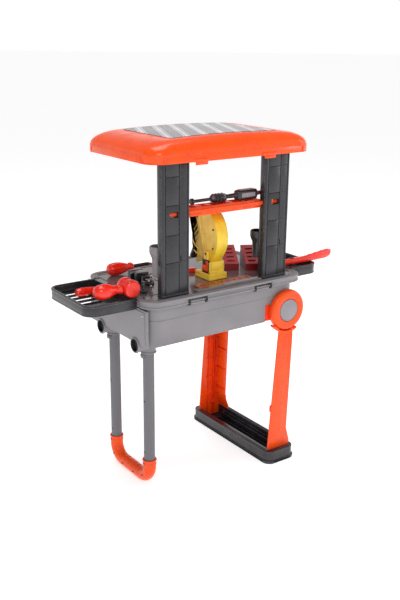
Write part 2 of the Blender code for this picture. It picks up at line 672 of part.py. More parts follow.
def lid_form(name, shrink, low, cutter):
    """A rounded rectangle whose upper part is drawn in level by level to an arched crown."""
    bm = bmesh.new()
    half_x, half_y = HALF_LENGTH - shrink, (LID_NEAR + LID_BACK) / 2 - shrink
    corner = CASE_CORNER - shrink
    rise = LID_DEPTH - LID_BAND - shrink
    rings = [rounded_ring(bm, half_x, half_y, corner, low, 0.0)]
    for i in range(CROWN_STEPS + 1):
        share = math.sin(math.pi / 2 * i / CROWN_STEPS)
        drawn = 1 - math.cos(math.pi / 2 * i / CROWN_STEPS)
        inset_x, inset_y = (CROWN_INSET_X - shrink) * drawn, (CROWN_INSET_Y - shrink) * drawn
        level = LID_BOTTOM + LID_BAND + rise * share
        rings.append(rounded_ring(bm, half_x - inset_x, half_y - inset_y, corner - inset_y, level, share))
    bm.faces.new(reversed(rings[0]))
    for lower, upper in zip(rings, rings[1:]):
        for i, start in enumerate(lower):
            after = (i + 1) % len(lower)
            bm.faces.new((start, lower[after], upper[after], upper[i]))
    top = rings[-1]
    half = len(top) // 2
    left, right = top[:half], top[half:]
    for i in range(half - 1):
        bm.faces.new((left[i], left[i + 1], right[half - 2 - i], right[half - 1 - i]))
    return from_bmesh(name, bm, ORANGE, cutter)


def roof_lid():
    """Case lid used as the roof: a crowned shell with a socket inside for each post."""
    lid = lid_form("roof_lid", 0.0, LID_BOTTOM, False)
    inside = lid_form("lid_inside", WALL, LID_BOTTOM - 0.01, True)
    for name, x in POSTS.items():
        grow = 0.003
        block = box(f"{name}_cap", (x - POST_WIDTH / 2 - grow, POST_Y - POST_THICKNESS / 2 - grow,
                                    POST_TOP - 0.014),
                    (x + POST_WIDTH / 2 + grow, POST_Y + POST_THICKNESS / 2 + grow, LID_TOP + 0.02), ORANGE,
                    cutter=True)
        cut(inside, block)
    cut(lid, inside)
    for name, x in POSTS.items():
        cut(lid, box(f"{name}_pocket", (x - POST_WIDTH / 2 - FIT, POST_Y - POST_THICKNESS / 2 - FIT,
                                        POST_TOP - 0.05),
                     (x + POST_WIDTH / 2 + FIT, POST_Y + POST_THICKNESS / 2 + FIT, POST_TOP + FIT), ORANGE,
                     cutter=True))
    return lid


def roof_label():
    """Printed film on the crown, bent along its arch."""
    half_x, half_y = HALF_LENGTH - 0.067, HALF_WIDTH - 0.0385
    steps = [LID_SHIFT - half_x + 2 * half_x * i / 16 for i in range(17)]
    under = [(x, LID_TOP + crown(x) + FIT) for x in steps]
    over = [(x, LID_TOP + crown(x) + LID_FLAT) for x in reversed(steps)]
    film = outline("roof_label", under + over, -half_y - LID_LIP, half_y - LID_LIP, "Y", PRINTED)
    corners = slab("label_corners", (LID_SHIFT - half_x, -half_y - LID_LIP - 1e-4, LID_BOTTOM),
                   (LID_SHIFT + half_x, half_y - LID_LIP + 1e-4, LID_TOP + 0.05), 0.008, PRINTED, cutter=True)
    return boolean(film, corners, "INTERSECT")


def lid_latches():
    """Two latches hung on the lid's near edge, each turning about its upper part."""
    face = -LID_NEAR
    for index, x in enumerate(LATCH_X):
        latch = box(f"lid_latch_{index + 1}", (x - 0.0165, face - FIT - 0.0030, LID_BOTTOM - 0.0055),
                    (x + 0.0165, face - FIT, LID_BOTTOM + 0.0060), ORANGE, 0.0012)
        about(latch, (x, face - FIT - 0.0015, LID_BOTTOM + 0.0045))


# End trays.


def tray_outline(direction, outer, half, shrink):
    """A rectangle with large outer corners, drawn in by shrink all round."""
    radius = TRAY_CORNER - shrink
    reach, side, inner = outer - shrink, half - shrink, TRAY_INNER_X + shrink
    points = [(inner, -side)] + arc(reach - radius, -side + radius, radius, -90, 0, 5)
    points += arc(reach - radius, side - radius, radius, 0, 90, 5) + [(inner, side)]
    return [(direction * x, y) for x, y in points]


def tray(name, outer, direction):
    """Open tray that hooks over the case rim; direction is -1 for the left end and 1 for the right."""
    ends = sorted((direction * TRAY_INNER_X, direction * outer))
    half = TRAY_WIDTH / 2
    made = outline(name, tray_outline(direction, outer, half, 0.0), TRAY_BOTTOM, TRAY_TOP, "Z", BLACK)
    pocket = outline(f"{name}_pocket", tray_outline(direction, outer, half, 0.0045), TRAY_FLOOR,
                     TRAY_TOP + 0.01, "Z",
                     BLACK, cutter=True)
    lip_ends = sorted((direction * (TRAY_INNER_X + 0.006), direction * (HALF_LENGTH - 0.0070)))
    lip = box(f"{name}_lip", (lip_ends[0], -half + 0.012, RIM_TOP + FIT),
              (lip_ends[1], half - 0.012, LIP_TOP),
              BLACK, cutter=True)
    cut(made, pocket)
    join(made, lip)
    slots = 4
    for i in range(slots):
        y = half * (-0.62 + 1.24 * i / (slots - 1))
        run = sorted((direction * (outer - 0.012), direction * (outer - 0.045)))
        cut(made, box(f"{name}_slot_{i + 1}", (run[0], y - 0.0030, TRAY_BOTTOM - 0.01),
                      (run[1], y + 0.0030, TRAY_FLOOR + 0.01), BLACK, cutter=True))
    return made


# Toy saw.


def chord(z):
    """The guard's straight far edge leans towards the child as it rises."""
    return SAW_CHORD_Y + SAW_CHORD_LEAN * (z - SAW_CHORD_Z)


def pin_hole(tag):
    return rod(tag, PIN_RADIUS + FIT, SAW_X - 0.05, SAW_X + 0.05, (0, SAW_PIVOT_Y, SAW_PIVOT_Z), "X", YELLOW,
               cutter=True, sides=20)


def saw_base():
    """Stand of the toy saw: a plate, a column and two ears for the pin."""
    low, high = SAW_X - GUARD_WIDTH / 2, SAW_X + GUARD_WIDTH / 2
    base = box("saw_base", (SAW_X - 0.0225, SAW_PIVOT_Y - 0.0190, DECK_TOP + FIT),
               (SAW_X + 0.0225, SAW_PIVOT_Y + 0.0325, SAW_BASE_TOP),
               YELLOW, 0.001)
    shelf = SAW_PIVOT_Z - 0.0165
    join(base, box("saw_column", (low - EAR - RUN, SAW_PIVOT_Y - 0.0125, SAW_BASE_TOP - 0.003),
                   (high + EAR + RUN, SAW_PIVOT_Y + 0.0125, shelf), YELLOW, cutter=True))
    for tag, x in (("left", low - EAR - RUN), ("right", high + RUN)):
        join(base, box(f"saw_ear_{tag}", (x, SAW_PIVOT_Y - 0.006, shelf - 0.002),
                       (x + EAR, SAW_PIVOT_Y + 0.006, SAW_PIVOT_Z + 0.006), YELLOW, cutter=True))
    return cut(base, pin_hole("saw_base_pin_hole"))


def saw_guard():
    """Round guard with a slot for the blade and a pin hole at its foot."""
    low, high = SAW_X - GUARD_WIDTH / 2, SAW_X + GUARD_WIDTH / 2
    shape = arc(SAW_Y, SAW_Z, GUARD_RADIUS, 77, 230, 26)
    foot_z = SAW_PIVOT_Z - 0.0130
    shape += [(SAW_PIVOT_Y - 0.006, foot_z), (SAW_PIVOT_Y + 0.006, foot_z), (SAW_CHORD_Y, SAW_CHORD_Z)]
    guard = outline("saw_guard", shape, low, high, "X", YELLOW)
    slot = box("blade_slot", (SAW_X - 0.0035, BLADE_Y - BLADE_RADIUS - 0.004, BLADE_Z - BLADE_RADIUS - 0.004),
               (SAW_X + 0.0035, BLADE_Y + 0.1, BLADE_Z + BLADE_RADIUS + 0.004), YELLOW, cutter=True)
    spindle = rod("spindle_bore", SPINDLE_RADIUS + FIT, low - 0.01, high + 0.01, (0, BLADE_Y, BLADE_Z),
                  "X", YELLOW,
                  cutter=True, sides=24)
    cut(guard, slot, spindle, pin_hole("guard_pin_hole"))
    return about(guard, (SAW_X, SAW_PIVOT_Y, SAW_PIVOT_Z))


def saw_pin():
    reach = GUARD_WIDTH / 2 + EAR + RUN
    return rod("saw_pin", PIN_RADIUS, SAW_X - reach, SAW_X + reach, (0, SAW_PIVOT_Y, SAW_PIVOT_Z), "X",
               RED, sides=20)


def saw_blade():
    """Toy blade on a short spindle in the guard."""
    reach = GUARD_WIDTH / 2 - 0.0010
    blade = rod("saw_blade", BLADE_RADIUS, SAW_X - 0.0020, SAW_X + 0.0020, (0, BLADE_Y, BLADE_Z), "X", SILVER,
                sides=40)
    join(blade, rod("blade_spindle", SPINDLE_RADIUS, SAW_X - reach, SAW_X + reach, (0, BLADE_Y, BLADE_Z), "X",
                    SILVER, cutter=True, sides=24))
    return about(blade, (SAW_X, BLADE_Y, BLADE_Z))


def saw_handle():
    """Black pistol grip hung from the top of the guard's far edge."""
    arm_low, arm_high = BLADE_Z + BLADE_RADIUS + 0.0035, BLADE_Z + BLADE_RADIUS + 0.0150
    inner = BLADE_Y + BLADE_RADIUS + 0.0030
    shape = [(chord(arm_low) + 0.0004, arm_low), (chord(arm_high) + 0.0004, arm_high),
             (inner + 0.0090, arm_high), (inner + 0.0165, SAW_Z + 0.0250), (inner + 0.0125, SAW_Z + 0.0020),
             (inner + 0.0115, SAW_Z - 0.0350), (inner + 0.0210, SAW_Z - 0.0510),
             (inner + 0.0210, SAW_Z - 0.0580),
             (inner + 0.0100, SAW_Z - 0.0580), (inner, SAW_Z - 0.0440), (inner, SAW_Z + 0.0250),
             (inner - 0.0010, arm_low)]
    grip = outline("saw_handle", shape, SAW_X - 0.0085, SAW_X + 0.0085, "X", BLACK)
    return about(grip, (SAW_X, SAW_PIVOT_Y, SAW_PIVOT_Z))


# Deck fittings and loose tools.


def hole_strip():
    length, width = 0.135, 0.022
    low_x = -0.0560
    y = -BODY_SIDE + 0.0290
    strip = box("hole_strip", (low_x, y - width / 2, DECK_TOP + FIT),
                (low_x + length, y + width / 2, DECK_TOP + 0.0034), RED)
    for i in range(STRIP_HOLES):
        x = low_x + length * (i + 0.5) / STRIP_HOLES
        cut(strip, rod(f"strip_hole_{i + 1}", 0.0032, DECK_TOP - 0.01, DECK_TOP + 0.02, (x, y, 0), "Z", RED,
                       cutter=True, sides=16))
    return strip


def board_height(run):
    return BOARD_FRONT + (BOARD_BACK - BOARD_FRONT) * run / BOARD_LENGTH


def slotted_boards():
    """Two sloping practice boards with slots across, set askew on the deck, and a bolt in the first."""
    for index, (x, y) in enumerate(BOARD_PLACES):
        name = f"slotted_board_{index + 1}"
        place = Matrix.Translation((x, y, DECK_TOP + FIT)) @ Matrix.Rotation(math.radians(BOARD_TURN), 4, "Z")
        side = [(0, 0), (BOARD_LENGTH, 0), (BOARD_LENGTH, BOARD_BACK), (0, BOARD_FRONT)]
        board = outline(name, side, 0, BOARD_WIDTH, "X", RED)
        board.data.transform(place)
        for i in range(BOARD_SLOTS):
            run = BOARD_LENGTH * (0.16 + 0.205 * i)
            high = board_height(run)
            cut(board, box(f"{name}_slot_{i + 1}", (BOARD_WIDTH * 0.24, run - 0.0028, high - 0.006),
                           (BOARD_WIDTH * 0.76, run + 0.0028, high + 0.01), RED, cutter=True, turn=place))
        if index == 0:
            head = board_height(BOARD_LENGTH * 0.93) + DECK_TOP + 0.0035
            bore = turn_point(place, (BOARD_WIDTH * 0.30, BOARD_LENGTH * 0.90, 0))
            cut(board, rod("board_bolt_bore", 0.0034, head - 0.016, head + 0.02, bore, "Z", RED,
                           cutter=True, sides=16))
            bolt = rod("board_bolt", 0.0031, head - 0.0157, head + 0.003, bore, "Z", BLACK, sides=16)
            join(bolt, rod("bolt_head", 0.0068, head, head + 0.0105, bore, "Z", BLACK, cutter=True, sides=6))


def turn_point(place, point):
    moved = place @ Vector(point)
    return (moved.x, moved.y, moved.z)


def tool_cups():
    """Tool holders on the back of each post: a tapered cup with a flared mouth and a wall fixing pad."""
    for name, x in POSTS.items():
        side = name.split("_")[1]
        y = POST_Y + POST_THICKNESS / 2 + FIT + CUP_RADIUS
        z = DECK_TOP + CUP_LOW
        height = CUP_HIGH - CUP_LOW
        flare = height - 0.024
        profile = [(0, 0), (0.0098, 0), (0.0112, flare), (CUP_RADIUS, flare + 0.008), (CUP_RADIUS, height),
                   (CUP_RADIUS - 0.0018, height), (CUP_RADIUS - 0.0018, flare + 0.009),
                   (0.0094, flare + 0.001),
                   (0.0082, 0.002), (0, 0.002)]
        turned(f"tool_cup_{side}", profile, (x - 0.0200, y, z), "Z", GREY, steps=24)


def mallet():
    """Toy mallet lying over the left tray."""
    x, z = -HALF_LENGTH - 0.0060, LIP_TOP + FIT + 0.0172
    y = -TRAY_WIDTH / 2 + 0.0210
    head = rod("mallet_head", 0.0172, y - 0.0190, y + 0.0190, (x, 0, z), "Y", RED, sides=28)
    cut(head, rod("mallet_eye", 0.0062 + FIT, x - 0.03, x + 0.0080, (0, y, z), "X", RED, cutter=True,
                  sides=20))
    profile = [(0, -0.0750), (0.0085, -0.0735), (0.0140, -0.0660), (0.0155, -0.0560), (0.0140, -0.0440),
               (0.0095, -0.0330),
               (0.0080, -0.0240), (0.0105, -0.0215), (0.0105, -0.0178), (0.0062, -0.0174),
               (0.0062, 0.0075), (0, 0.0075)]
    turned("mallet_handle", profile, (x, y, z), "X", RED, steps=24)


def screwdriver():
    """Toy screwdriver lying along the far side of the deck."""
    radius = 0.0135
    x, y, z = -0.1640, 0.0840, DECK_TOP + FIT + radius
    profile = [(0, 0), (0.0080, 0.0006), (0.0122, 0.007), (radius, 0.016), (radius, 0.026), (0.0105, 0.041),
               (0.0068, 0.049), (0.0082, 0.052), (0.0082, 0.057), (0.0052, 0.062), (0.0036, 0.0622),
               (0.0036, 0.048),
               (0, 0.048)]
    turned("screwdriver_handle", profile, (x, y, z), "X", RED, steps=24)
    rod("screwdriver_shaft", 0.0033, x + 0.0484, x + 0.106, (0, y, z), "X", SILVER, sides=16)


def tray_tools():
    """Loose tools in the trays: a spanner grip on the left, pliers and a spanner on the right."""
    floor = TRAY_FLOOR + FIT
    left = -HALF_LENGTH - 0.066
    profile = [(0, -0.024), (0.0080, -0.022), (0.0092, -0.010), (0.0080, 0.012), (0.0060, 0.022), (0, 0.024)]
    turned("tray_driver", profile, (left + 0.022, 0.0380, floor + 0.0092), "X", RED, steps=20)
    right = HALF_LENGTH
    turn = Matrix.Translation((right + 0.0040, -0.0560, LIP_TOP + FIT)) @ Matrix.Rotation(math.radians(3),
                                                                                          4, "Z")
    shape = [(0.0, -0.0040), (0.030, -0.0085), (0.060, -0.0110), (0.115, -0.0120), (0.134, -0.0080),
             (0.134, 0.0015),
             (0.118, 0.0050), (0.060, 0.0045), (0.030, 0.0075), (0.0, 0.0045)]
    pliers = outline("toy_pliers", shape, 0.0, 0.0105, "Z", RED)
    pliers.data.transform(turn)
    shape = [(0.0, -0.010), (0.020, -0.012), (0.045, -0.006), (0.080, -0.006), (0.080, 0.006), (0.045, 0.006),
             (0.020, 0.012), (0.0, 0.010)]
    wrench = outline("toy_spanner", shape, 0.0, 0.0080, "Z", SILVER)
    place = Matrix.Translation((right + 0.0240, 0.0600, floor)) @ Matrix.Rotation(math.radians(-64), 4, "Z")
    wrench.data.transform(place)


def vice():
    """Toy vice on the left of the deck: fixed jaw, sliding jaw and screw with a handle bar."""
    x, y, z = -0.1320, 0.0100, DECK_TOP + FIT
    base = box("vice_base", (x - 0.016, y - 0.030, z), (x + 0.016, y + 0.024, z + 0.006), BLACK)
    join(base, box("vice_fixed_jaw", (x - 0.015, y + 0.010, z + 0.003), (x + 0.015, y + 0.020, z + 0.024),
                   BLACK, cutter=True),
         box("vice_nut", (x - 0.009, y - 0.028, z + 0.003), (x + 0.009, y - 0.022, z + 0.020), BLACK,
             cutter=True))
    screw_z = z + 0.0135
    cut(base, rod("vice_thread", 0.0032 + FIT, y - 0.04, y - 0.01, (x, 0, screw_z), "Y", BLACK,
                  cutter=True, sides=16))
    jaw = box("vice_jaw", (x - 0.014, y - 0.014, z + 0.0063), (x + 0.014, y - 0.004, z + 0.024), BLACK)
    cut(jaw, rod("vice_jaw_bore", 0.0032 + FIT, y - 0.02, y - 0.0070, (x, 0, screw_z), "Y", BLACK,
                 cutter=True, sides=16))
    screw = rod("vice_screw", 0.0032, y - 0.044, y - 0.0073, (x, 0, screw_z), "Y", SILVER, sides=16)
    join(screw, rod("vice_screw_head", 0.0060, y - 0.048, y - 0.040, (x, 0, screw_z), "Y", SILVER,
                    cutter=True, sides=20),
         rod("vice_bar", 0.0020, screw_z - 0.0125, screw_z + 0.0125, (x, y - 0.044, 0), "Z", SILVER,
             cutter=True, sides=12))
    about(screw, (x, y - 0.02, screw_z))


def rack_tool():
    """Black toy driver lying along the crossbar."""
    z = BAR_BOTTOM + BAR_HEIGHT + FIT
    y = BAR_Y
    body = box("rack_driver", (0.0400, y - 0.0085, z), (0.0900, y + 0.0085, z + 0.0205), BLACK, 0.004)
    join(body, rod("rack_neck", 0.0042, 0.010, 0.045, (0, y, z + 0.0110), "X", BLACK, cutter=True, sides=16),
         box("rack_chuck", (-0.0210, y - 0.0080, z), (0.0130, y + 0.0080, z + 0.0200), BLACK, 0.003,
             cutter=True),
         rod("rack_shaft", 0.0034, -0.066, -0.015, (0, y, z + 0.0090), "X", BLACK, cutter=True, sides=16),
         rod("rack_ring", 0.0062, -0.0720, -0.0640, (0, y, z + 0.0090), "X", BLACK, cutter=True, sides=16))
    return body


def loose_hardware():
    """A nut, a bolt and a chisel left on the deck."""
    z = DECK_TOP + FIT
    nut = rod("toy_nut", 0.0085, z, z + 0.0070, (-0.0980, -0.0520, 0), "Z", SILVER, sides=6)
    cut(nut, rod("nut_bore", 0.0042, z - 0.01, z + 0.02, (-0.0980, -0.0520, 0), "Z", SILVER, cutter=True,
                 sides=16))
    bolt = rod("toy_bolt", 0.0080, z, z + 0.0060, (-0.1620, -0.0550, 0), "Z", BLACK, sides=6)
    join(bolt, rod("bolt_shank", 0.0038, z + 0.003, z + 0.0240, (-0.1620, -0.0550, 0), "Z", BLACK,
                   cutter=True, sides=16))
    chisel = [(0.0, -0.0045), (0.055, -0.0060), (0.060, 0.0), (0.055, 0.0060), (0.0, 0.0045)]
    made = outline("toy_chisel", chisel, 0.0, 0.0085, "Z", RED)
    made.data.transform(Matrix.Translation((-0.045, 0.0300, z)) @ Matrix.Rotation(math.radians(-14), 4, "Z"))


def build():
    case_tub()
    deck_panel()
    end_bracket()
    channel_liners()
    leg_tubes()
    handle_grip()
    snap_buttons()
    axle()
    wheel_housings()
    wheels()
    leg_arms()
    foot_base()
    posts()
    crossbar()
    roof_lid()
    roof_label()
    lid_latches()
    tray("tray_left", TRAY_OUTER_LEFT, -1)
    tray("tray_right", TRAY_OUTER_RIGHT, 1)
    saw_base()
    saw_guard()
    saw_pin()
    saw_blade()
    saw_handle()
    hole_strip()
    slotted_boards()
    tool_cups()
    mallet()
    screwdriver()
    tray_tools()
    vice()
    rack_tool()
    loose_hardware()


def stand_at_origin():
    """Slides everything sideways so that the bounding box is centred on the origin."""
    bpy.context.view_layer.update()
    graph = bpy.context.evaluated_depsgraph_get()
    corners = [
        obj.matrix_world @ Vector(corner)
        for obj in PARTS.objects
        for corner in obj.evaluated_get(graph).bound_box
    ]
    middle = [(min(c[i] for c in corners) + max(c[i] for c in corners)) / 2 for i in (0, 1)]
    for obj in list(PARTS.objects) + list(TOOLS.objects):
        obj.location.x -= middle[0]
        obj.location.y -= middle[1]


build()
stand_at_origin()
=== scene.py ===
"""Toy workbench that packs into a trolley case: its finished look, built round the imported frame.

Every size is in metres. Places come from the frame's own parts, and each operator below makes
one piece or one group of like pieces. The panel in the 3D view's sidebar lists them in order.
"""

import json
import math

import bmesh
import bpy
from mathutils import Matrix, Vector


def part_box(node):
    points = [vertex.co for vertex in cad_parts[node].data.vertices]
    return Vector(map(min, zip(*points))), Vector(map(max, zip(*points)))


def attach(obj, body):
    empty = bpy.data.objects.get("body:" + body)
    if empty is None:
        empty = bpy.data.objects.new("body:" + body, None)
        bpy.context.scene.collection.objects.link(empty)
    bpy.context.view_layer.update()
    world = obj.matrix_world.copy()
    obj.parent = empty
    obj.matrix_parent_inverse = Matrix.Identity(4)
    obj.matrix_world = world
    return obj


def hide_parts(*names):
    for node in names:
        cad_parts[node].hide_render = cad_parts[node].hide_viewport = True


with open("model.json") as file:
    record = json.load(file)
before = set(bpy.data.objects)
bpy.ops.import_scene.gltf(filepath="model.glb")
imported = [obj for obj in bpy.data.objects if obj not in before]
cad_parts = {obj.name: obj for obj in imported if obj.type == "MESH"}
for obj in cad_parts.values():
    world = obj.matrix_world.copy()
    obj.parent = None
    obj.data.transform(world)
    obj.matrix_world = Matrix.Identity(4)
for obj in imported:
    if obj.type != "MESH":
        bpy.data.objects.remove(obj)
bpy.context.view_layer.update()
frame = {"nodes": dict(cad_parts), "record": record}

bl_info = {
    "name": "Toy workbench in a trolley case",
    "version": (1, 0, 0),
    "blender": (4, 5, 0),
    "location": "3D View > Sidebar > Workbench",
    "description": "Builds the mouldings, tools, finishes and stage of a child's folding workbench",
    "category": "Object",
}

BODY_OF = {
    node: body for body, nodes in frame["record"]["behaviour"]["bodies"].items() for node in nodes
}
SIDES = (("near", -1), ("far", 1))
CORNER_RADIUS = 0.034  # Upright corners of the case's rim and of the lid.
WALL_INSET_LEFT, WALL_INSET_RIGHT, WALL_INSET_SIDE = 0.008, 0.014, 0.0115  # From the rim in to the tub's wall.
TUBE_RADIUS = 0.0115


def linear(hex_colour):
    """An sRGB hex colour as linear red, green and blue."""
    parts = [int(hex_colour[i : i + 2], 16) / 255 for i in (0, 2, 4)]
    return tuple(p / 12.92 if p <= 0.04045 else ((p + 0.055) / 1.055) ** 2.4 for p in parts)


# Sizes and colours that a user would change.


def length(name, default, description):
    return bpy.props.FloatProperty(
        name=name, default=default, min=0.0, precision=5, unit="LENGTH", description=description
    )


def colour(name, hex_colour, description):
    return bpy.props.FloatVectorProperty(
        name=name,
        default=linear(hex_colour),
        size=3,
        min=0.0,
        max=1.0,
        subtype="COLOR",
        description=description,
    )


class BenchSizes(bpy.types.PropertyGroup):
    """Sizes of the details that sit on the frame."""

    edge: length("Edge rounding", 0.0009, "Radius on the outer edges of mouldings")
    soft_edge: length("Soft edge rounding", 0.0022, "Radius on edges that a child's hand meets")
    rim_bead: length("Rim bead", 0.0014, "How far the beads stand out from the case rim")
    lid_wall: length("Lid wall", 0.0025, "Wall thickness of the roof moulding")
    lid_panel: length("Lid side panel", 0.0011,
                      "How far the band's long panels stand out between the corners")
    post_groove: length("Post groove", 0.0013, "Width of the grooves between the panels of a post")
    post_panel: length("Post panel", 0.0016, "How far the post's front panels stand out")
    rib: length("Rib", 0.0016, "Width of the moulded ribs on the leg arms and foot bar")
    tyre_round: length("Wheel rounding", 0.0075, "Radius of the wheel's outer edge")
    finger_groove: length("Finger groove", 0.0007, "Depth of the grip's finger grooves")
    screw_head: length("Screw head", 0.0026, "Radius of the small assembly screws")


class BenchColours(bpy.types.PropertyGroup):
    """Colours of the plastics and platings."""

    orange: colour("Shell orange", "FF5410", "Roof, crossbar, wheels, leg arms and grip")
    grey: colour("Case grey", "848184", "Case tub, deck and end bracket")
    tube: colour("Tube grey", "6B6A6E", "Handle tubes")
    black: colour("Tray black", "1C1C20", "Trays, foot bar and saw handle")
    charcoal: colour("Post charcoal", "2A2A2F", "Posts")
    yellow: colour("Saw yellow", "FFDC3A", "Toy saw")
    red: colour("Tool red", "FF2812", "Mallet, screwdriver, pliers and drivers")
    board: colour("Board red", "8C0E16", "Bodies of the slotted boards")
    # Pale rose: the boards' dark red lightened as a painted sheen for their upward faces lit from above.
    board_top_painted_sheen: colour("Board top", "B9545C", "Top plates of the slotted boards")
    strip: colour("Strip orange", "BE6A3C", "Perforated strip on the deck")
    chrome: colour("Chrome", "C9C9CE", "Metallised plastic and plated steel")
    film: colour("Printed film", "6E686C", "Ground colour of the roof's printed film")
    floor: colour("Floor", "FAFAFA", "Studio floor and backdrop")


def sizes():
    return bpy.context.scene.bench_sizes


def colours():
    return bpy.context.scene.bench_colours


# Materials.


def add(tree, kind, settings=None, inputs=None):
    """Adds one node, with its settings and with a value or a link for each named or numbered input."""
    made = tree.nodes.new(kind)
    for name, value in (settings or {}).items():
        setattr(made, name, value)
    for name, value in (inputs or {}).items():
        if isinstance(value, bpy.types.NodeSocket):
            tree.links.new(value, made.inputs[name])
        else:
            made.inputs[name].default_value = value
    return made


def blank(name):
    """A new material with only its shader and output left in the tree."""
    made = bpy.data.materials.new(name)
    made.use_nodes = True
    tree = made.node_tree
    return made, tree, tree.nodes["Principled BSDF"]


def edge_mask(tree, radius):
    """White along edges sharper than the radius, black on flats."""
    rounded = add(tree, "ShaderNodeBevel", {"samples": 6}, {"Radius": radius})
    flat = add(tree, "ShaderNodeNewGeometry")
    dot = add(
        tree,
        "ShaderNodeVectorMath",
        {"operation": "DOT_PRODUCT"},
        {0: rounded.outputs["Normal"], 1: flat.outputs["Normal"]},
    )
    mask = add(
        tree,
        "ShaderNodeMapRange",
        {},
        {"Value": dot.outputs["Value"], "From Min": 0.995, "From Max": 0.90, "To Min": 0.0, "To Max": 1.0},
    )
    return rounded.outputs["Normal"], mask.outputs["Result"]


def moulded(name, ground, shade, wear_and_highlight, grain, depth, gloss, coat=0.0, metal=0.0, blotch=0.030,
            radius=0.0009, shine=0.5):
    """A moulded plastic.

    ground and shade are its colour and the colour it drifts to in broad blotches; the third colour goes on its
    edges, partly as rubbed wear and, where it is paler than the ground, as a painted highlight along the
    edges. grain and depth are the size and height of its surface texture, and gloss is the lowest and
    highest roughness.
    """
    made, tree, shader = blank(name)
    place = add(tree, "ShaderNodeTexCoord").outputs["Object"]
    cloud = add(tree, "ShaderNodeTexNoise", {}, {"Vector": place, "Scale": 1 / blotch, "Detail": 3.0})
    drift = add(
        tree,
        "ShaderNodeMapRange",
        {},
        {"Value": cloud.outputs["Fac"], "From Min": 0.35, "From Max": 0.70},
    )
    body = add(
        tree,
        "ShaderNodeMix",
        {"data_type": "RGBA"},
        {"Factor": drift.outputs["Result"], 6: (*ground, 1), 7: (*shade, 1)},
    )
    fine = add(tree, "ShaderNodeTexNoise", {},
               {"Vector": place, "Scale": 1 / grain, "Detail": 2.0, "Roughness": 0.6})
    speck = add(
        tree,
        "ShaderNodeMapRange",
        {},
        {"Value": fine.outputs["Fac"], "From Min": 0.30, "From Max": 0.72, "To Min": 0.93, "To Max": 1.07},
    )
    mottled = add(
        tree,
        "ShaderNodeMix",
        {"data_type": "RGBA", "blend_type": "MULTIPLY"},
        {"Factor": 1.0, 6: body.outputs[2], 7: speck.outputs["Result"]},
    )
    soft, edges = edge_mask(tree, radius)
    edge_patch_noise = add(tree, "ShaderNodeTexNoise", {}, {"Vector": place, "Scale": 1 / 0.006, "Detail": 4.0})
    patchy = add(
        tree,
        "ShaderNodeMapRange",
        {},
        {"Value": edge_patch_noise.outputs["Fac"], "From Min": 0.40, "From Max": 0.66, "To Min": 0.10,
         "To Max": 0.75},
    )
    # Edges take the third colour: partly rubbed wear, partly a painted highlight where that colour is paler
    # than the ground.
    wear_and_highlight_mask = add(
        tree, "ShaderNodeMath", {"operation": "MULTIPLY"}, {0: edges, 1: patchy.outputs["Result"]}
    )
    skin = add(
        tree,
        "ShaderNodeMix",
        {"data_type": "RGBA"},
        {"Factor": wear_and_highlight_mask.outputs["Value"], 6: mottled.outputs[2], 7: (*wear_and_highlight, 1)},
    )
    scuff = add(tree, "ShaderNodeTexNoise", {},
                {"Vector": place, "Scale": 1 / 0.009, "Detail": 4.0, "Roughness": 0.65})
    handled = add(
        tree, "ShaderNodeMath", {"operation": "MULTIPLY"},
        {0: scuff.outputs["Fac"], 1: cloud.outputs["Fac"]}
    )
    rough = add(
        tree,
        "ShaderNodeMapRange",
        {},
        {"Value": handled.outputs["Value"], "From Min": 0.15, "From Max": 0.38, "To Min": gloss[0],
         "To Max": gloss[1]},
    )
    texture = add(
        tree,
        "ShaderNodeBump",
        {},
        {"Height": fine.outputs["Fac"], "Strength": 0.6, "Distance": depth, "Normal": soft},
    )
    tree.links.new(skin.outputs[2], shader.inputs["Base Color"])
    tree.links.new(rough.outputs["Result"], shader.inputs["Roughness"])
    tree.links.new(texture.outputs["Normal"], shader.inputs["Normal"])
    shader.inputs["Metallic"].default_value = metal
    shader.inputs["Specular IOR Level"].default_value = shine
    shader.inputs["Coat Weight"].default_value = coat
    shader.inputs["Coat Roughness"].default_value = 0.12
    return made


def tinted(base, hex_colour, share):
    """The base colour moved a share of the way to an sRGB hex colour."""
    other = linear(hex_colour)
    return tuple(b + (o - b) * share for b, o in zip(base, other))


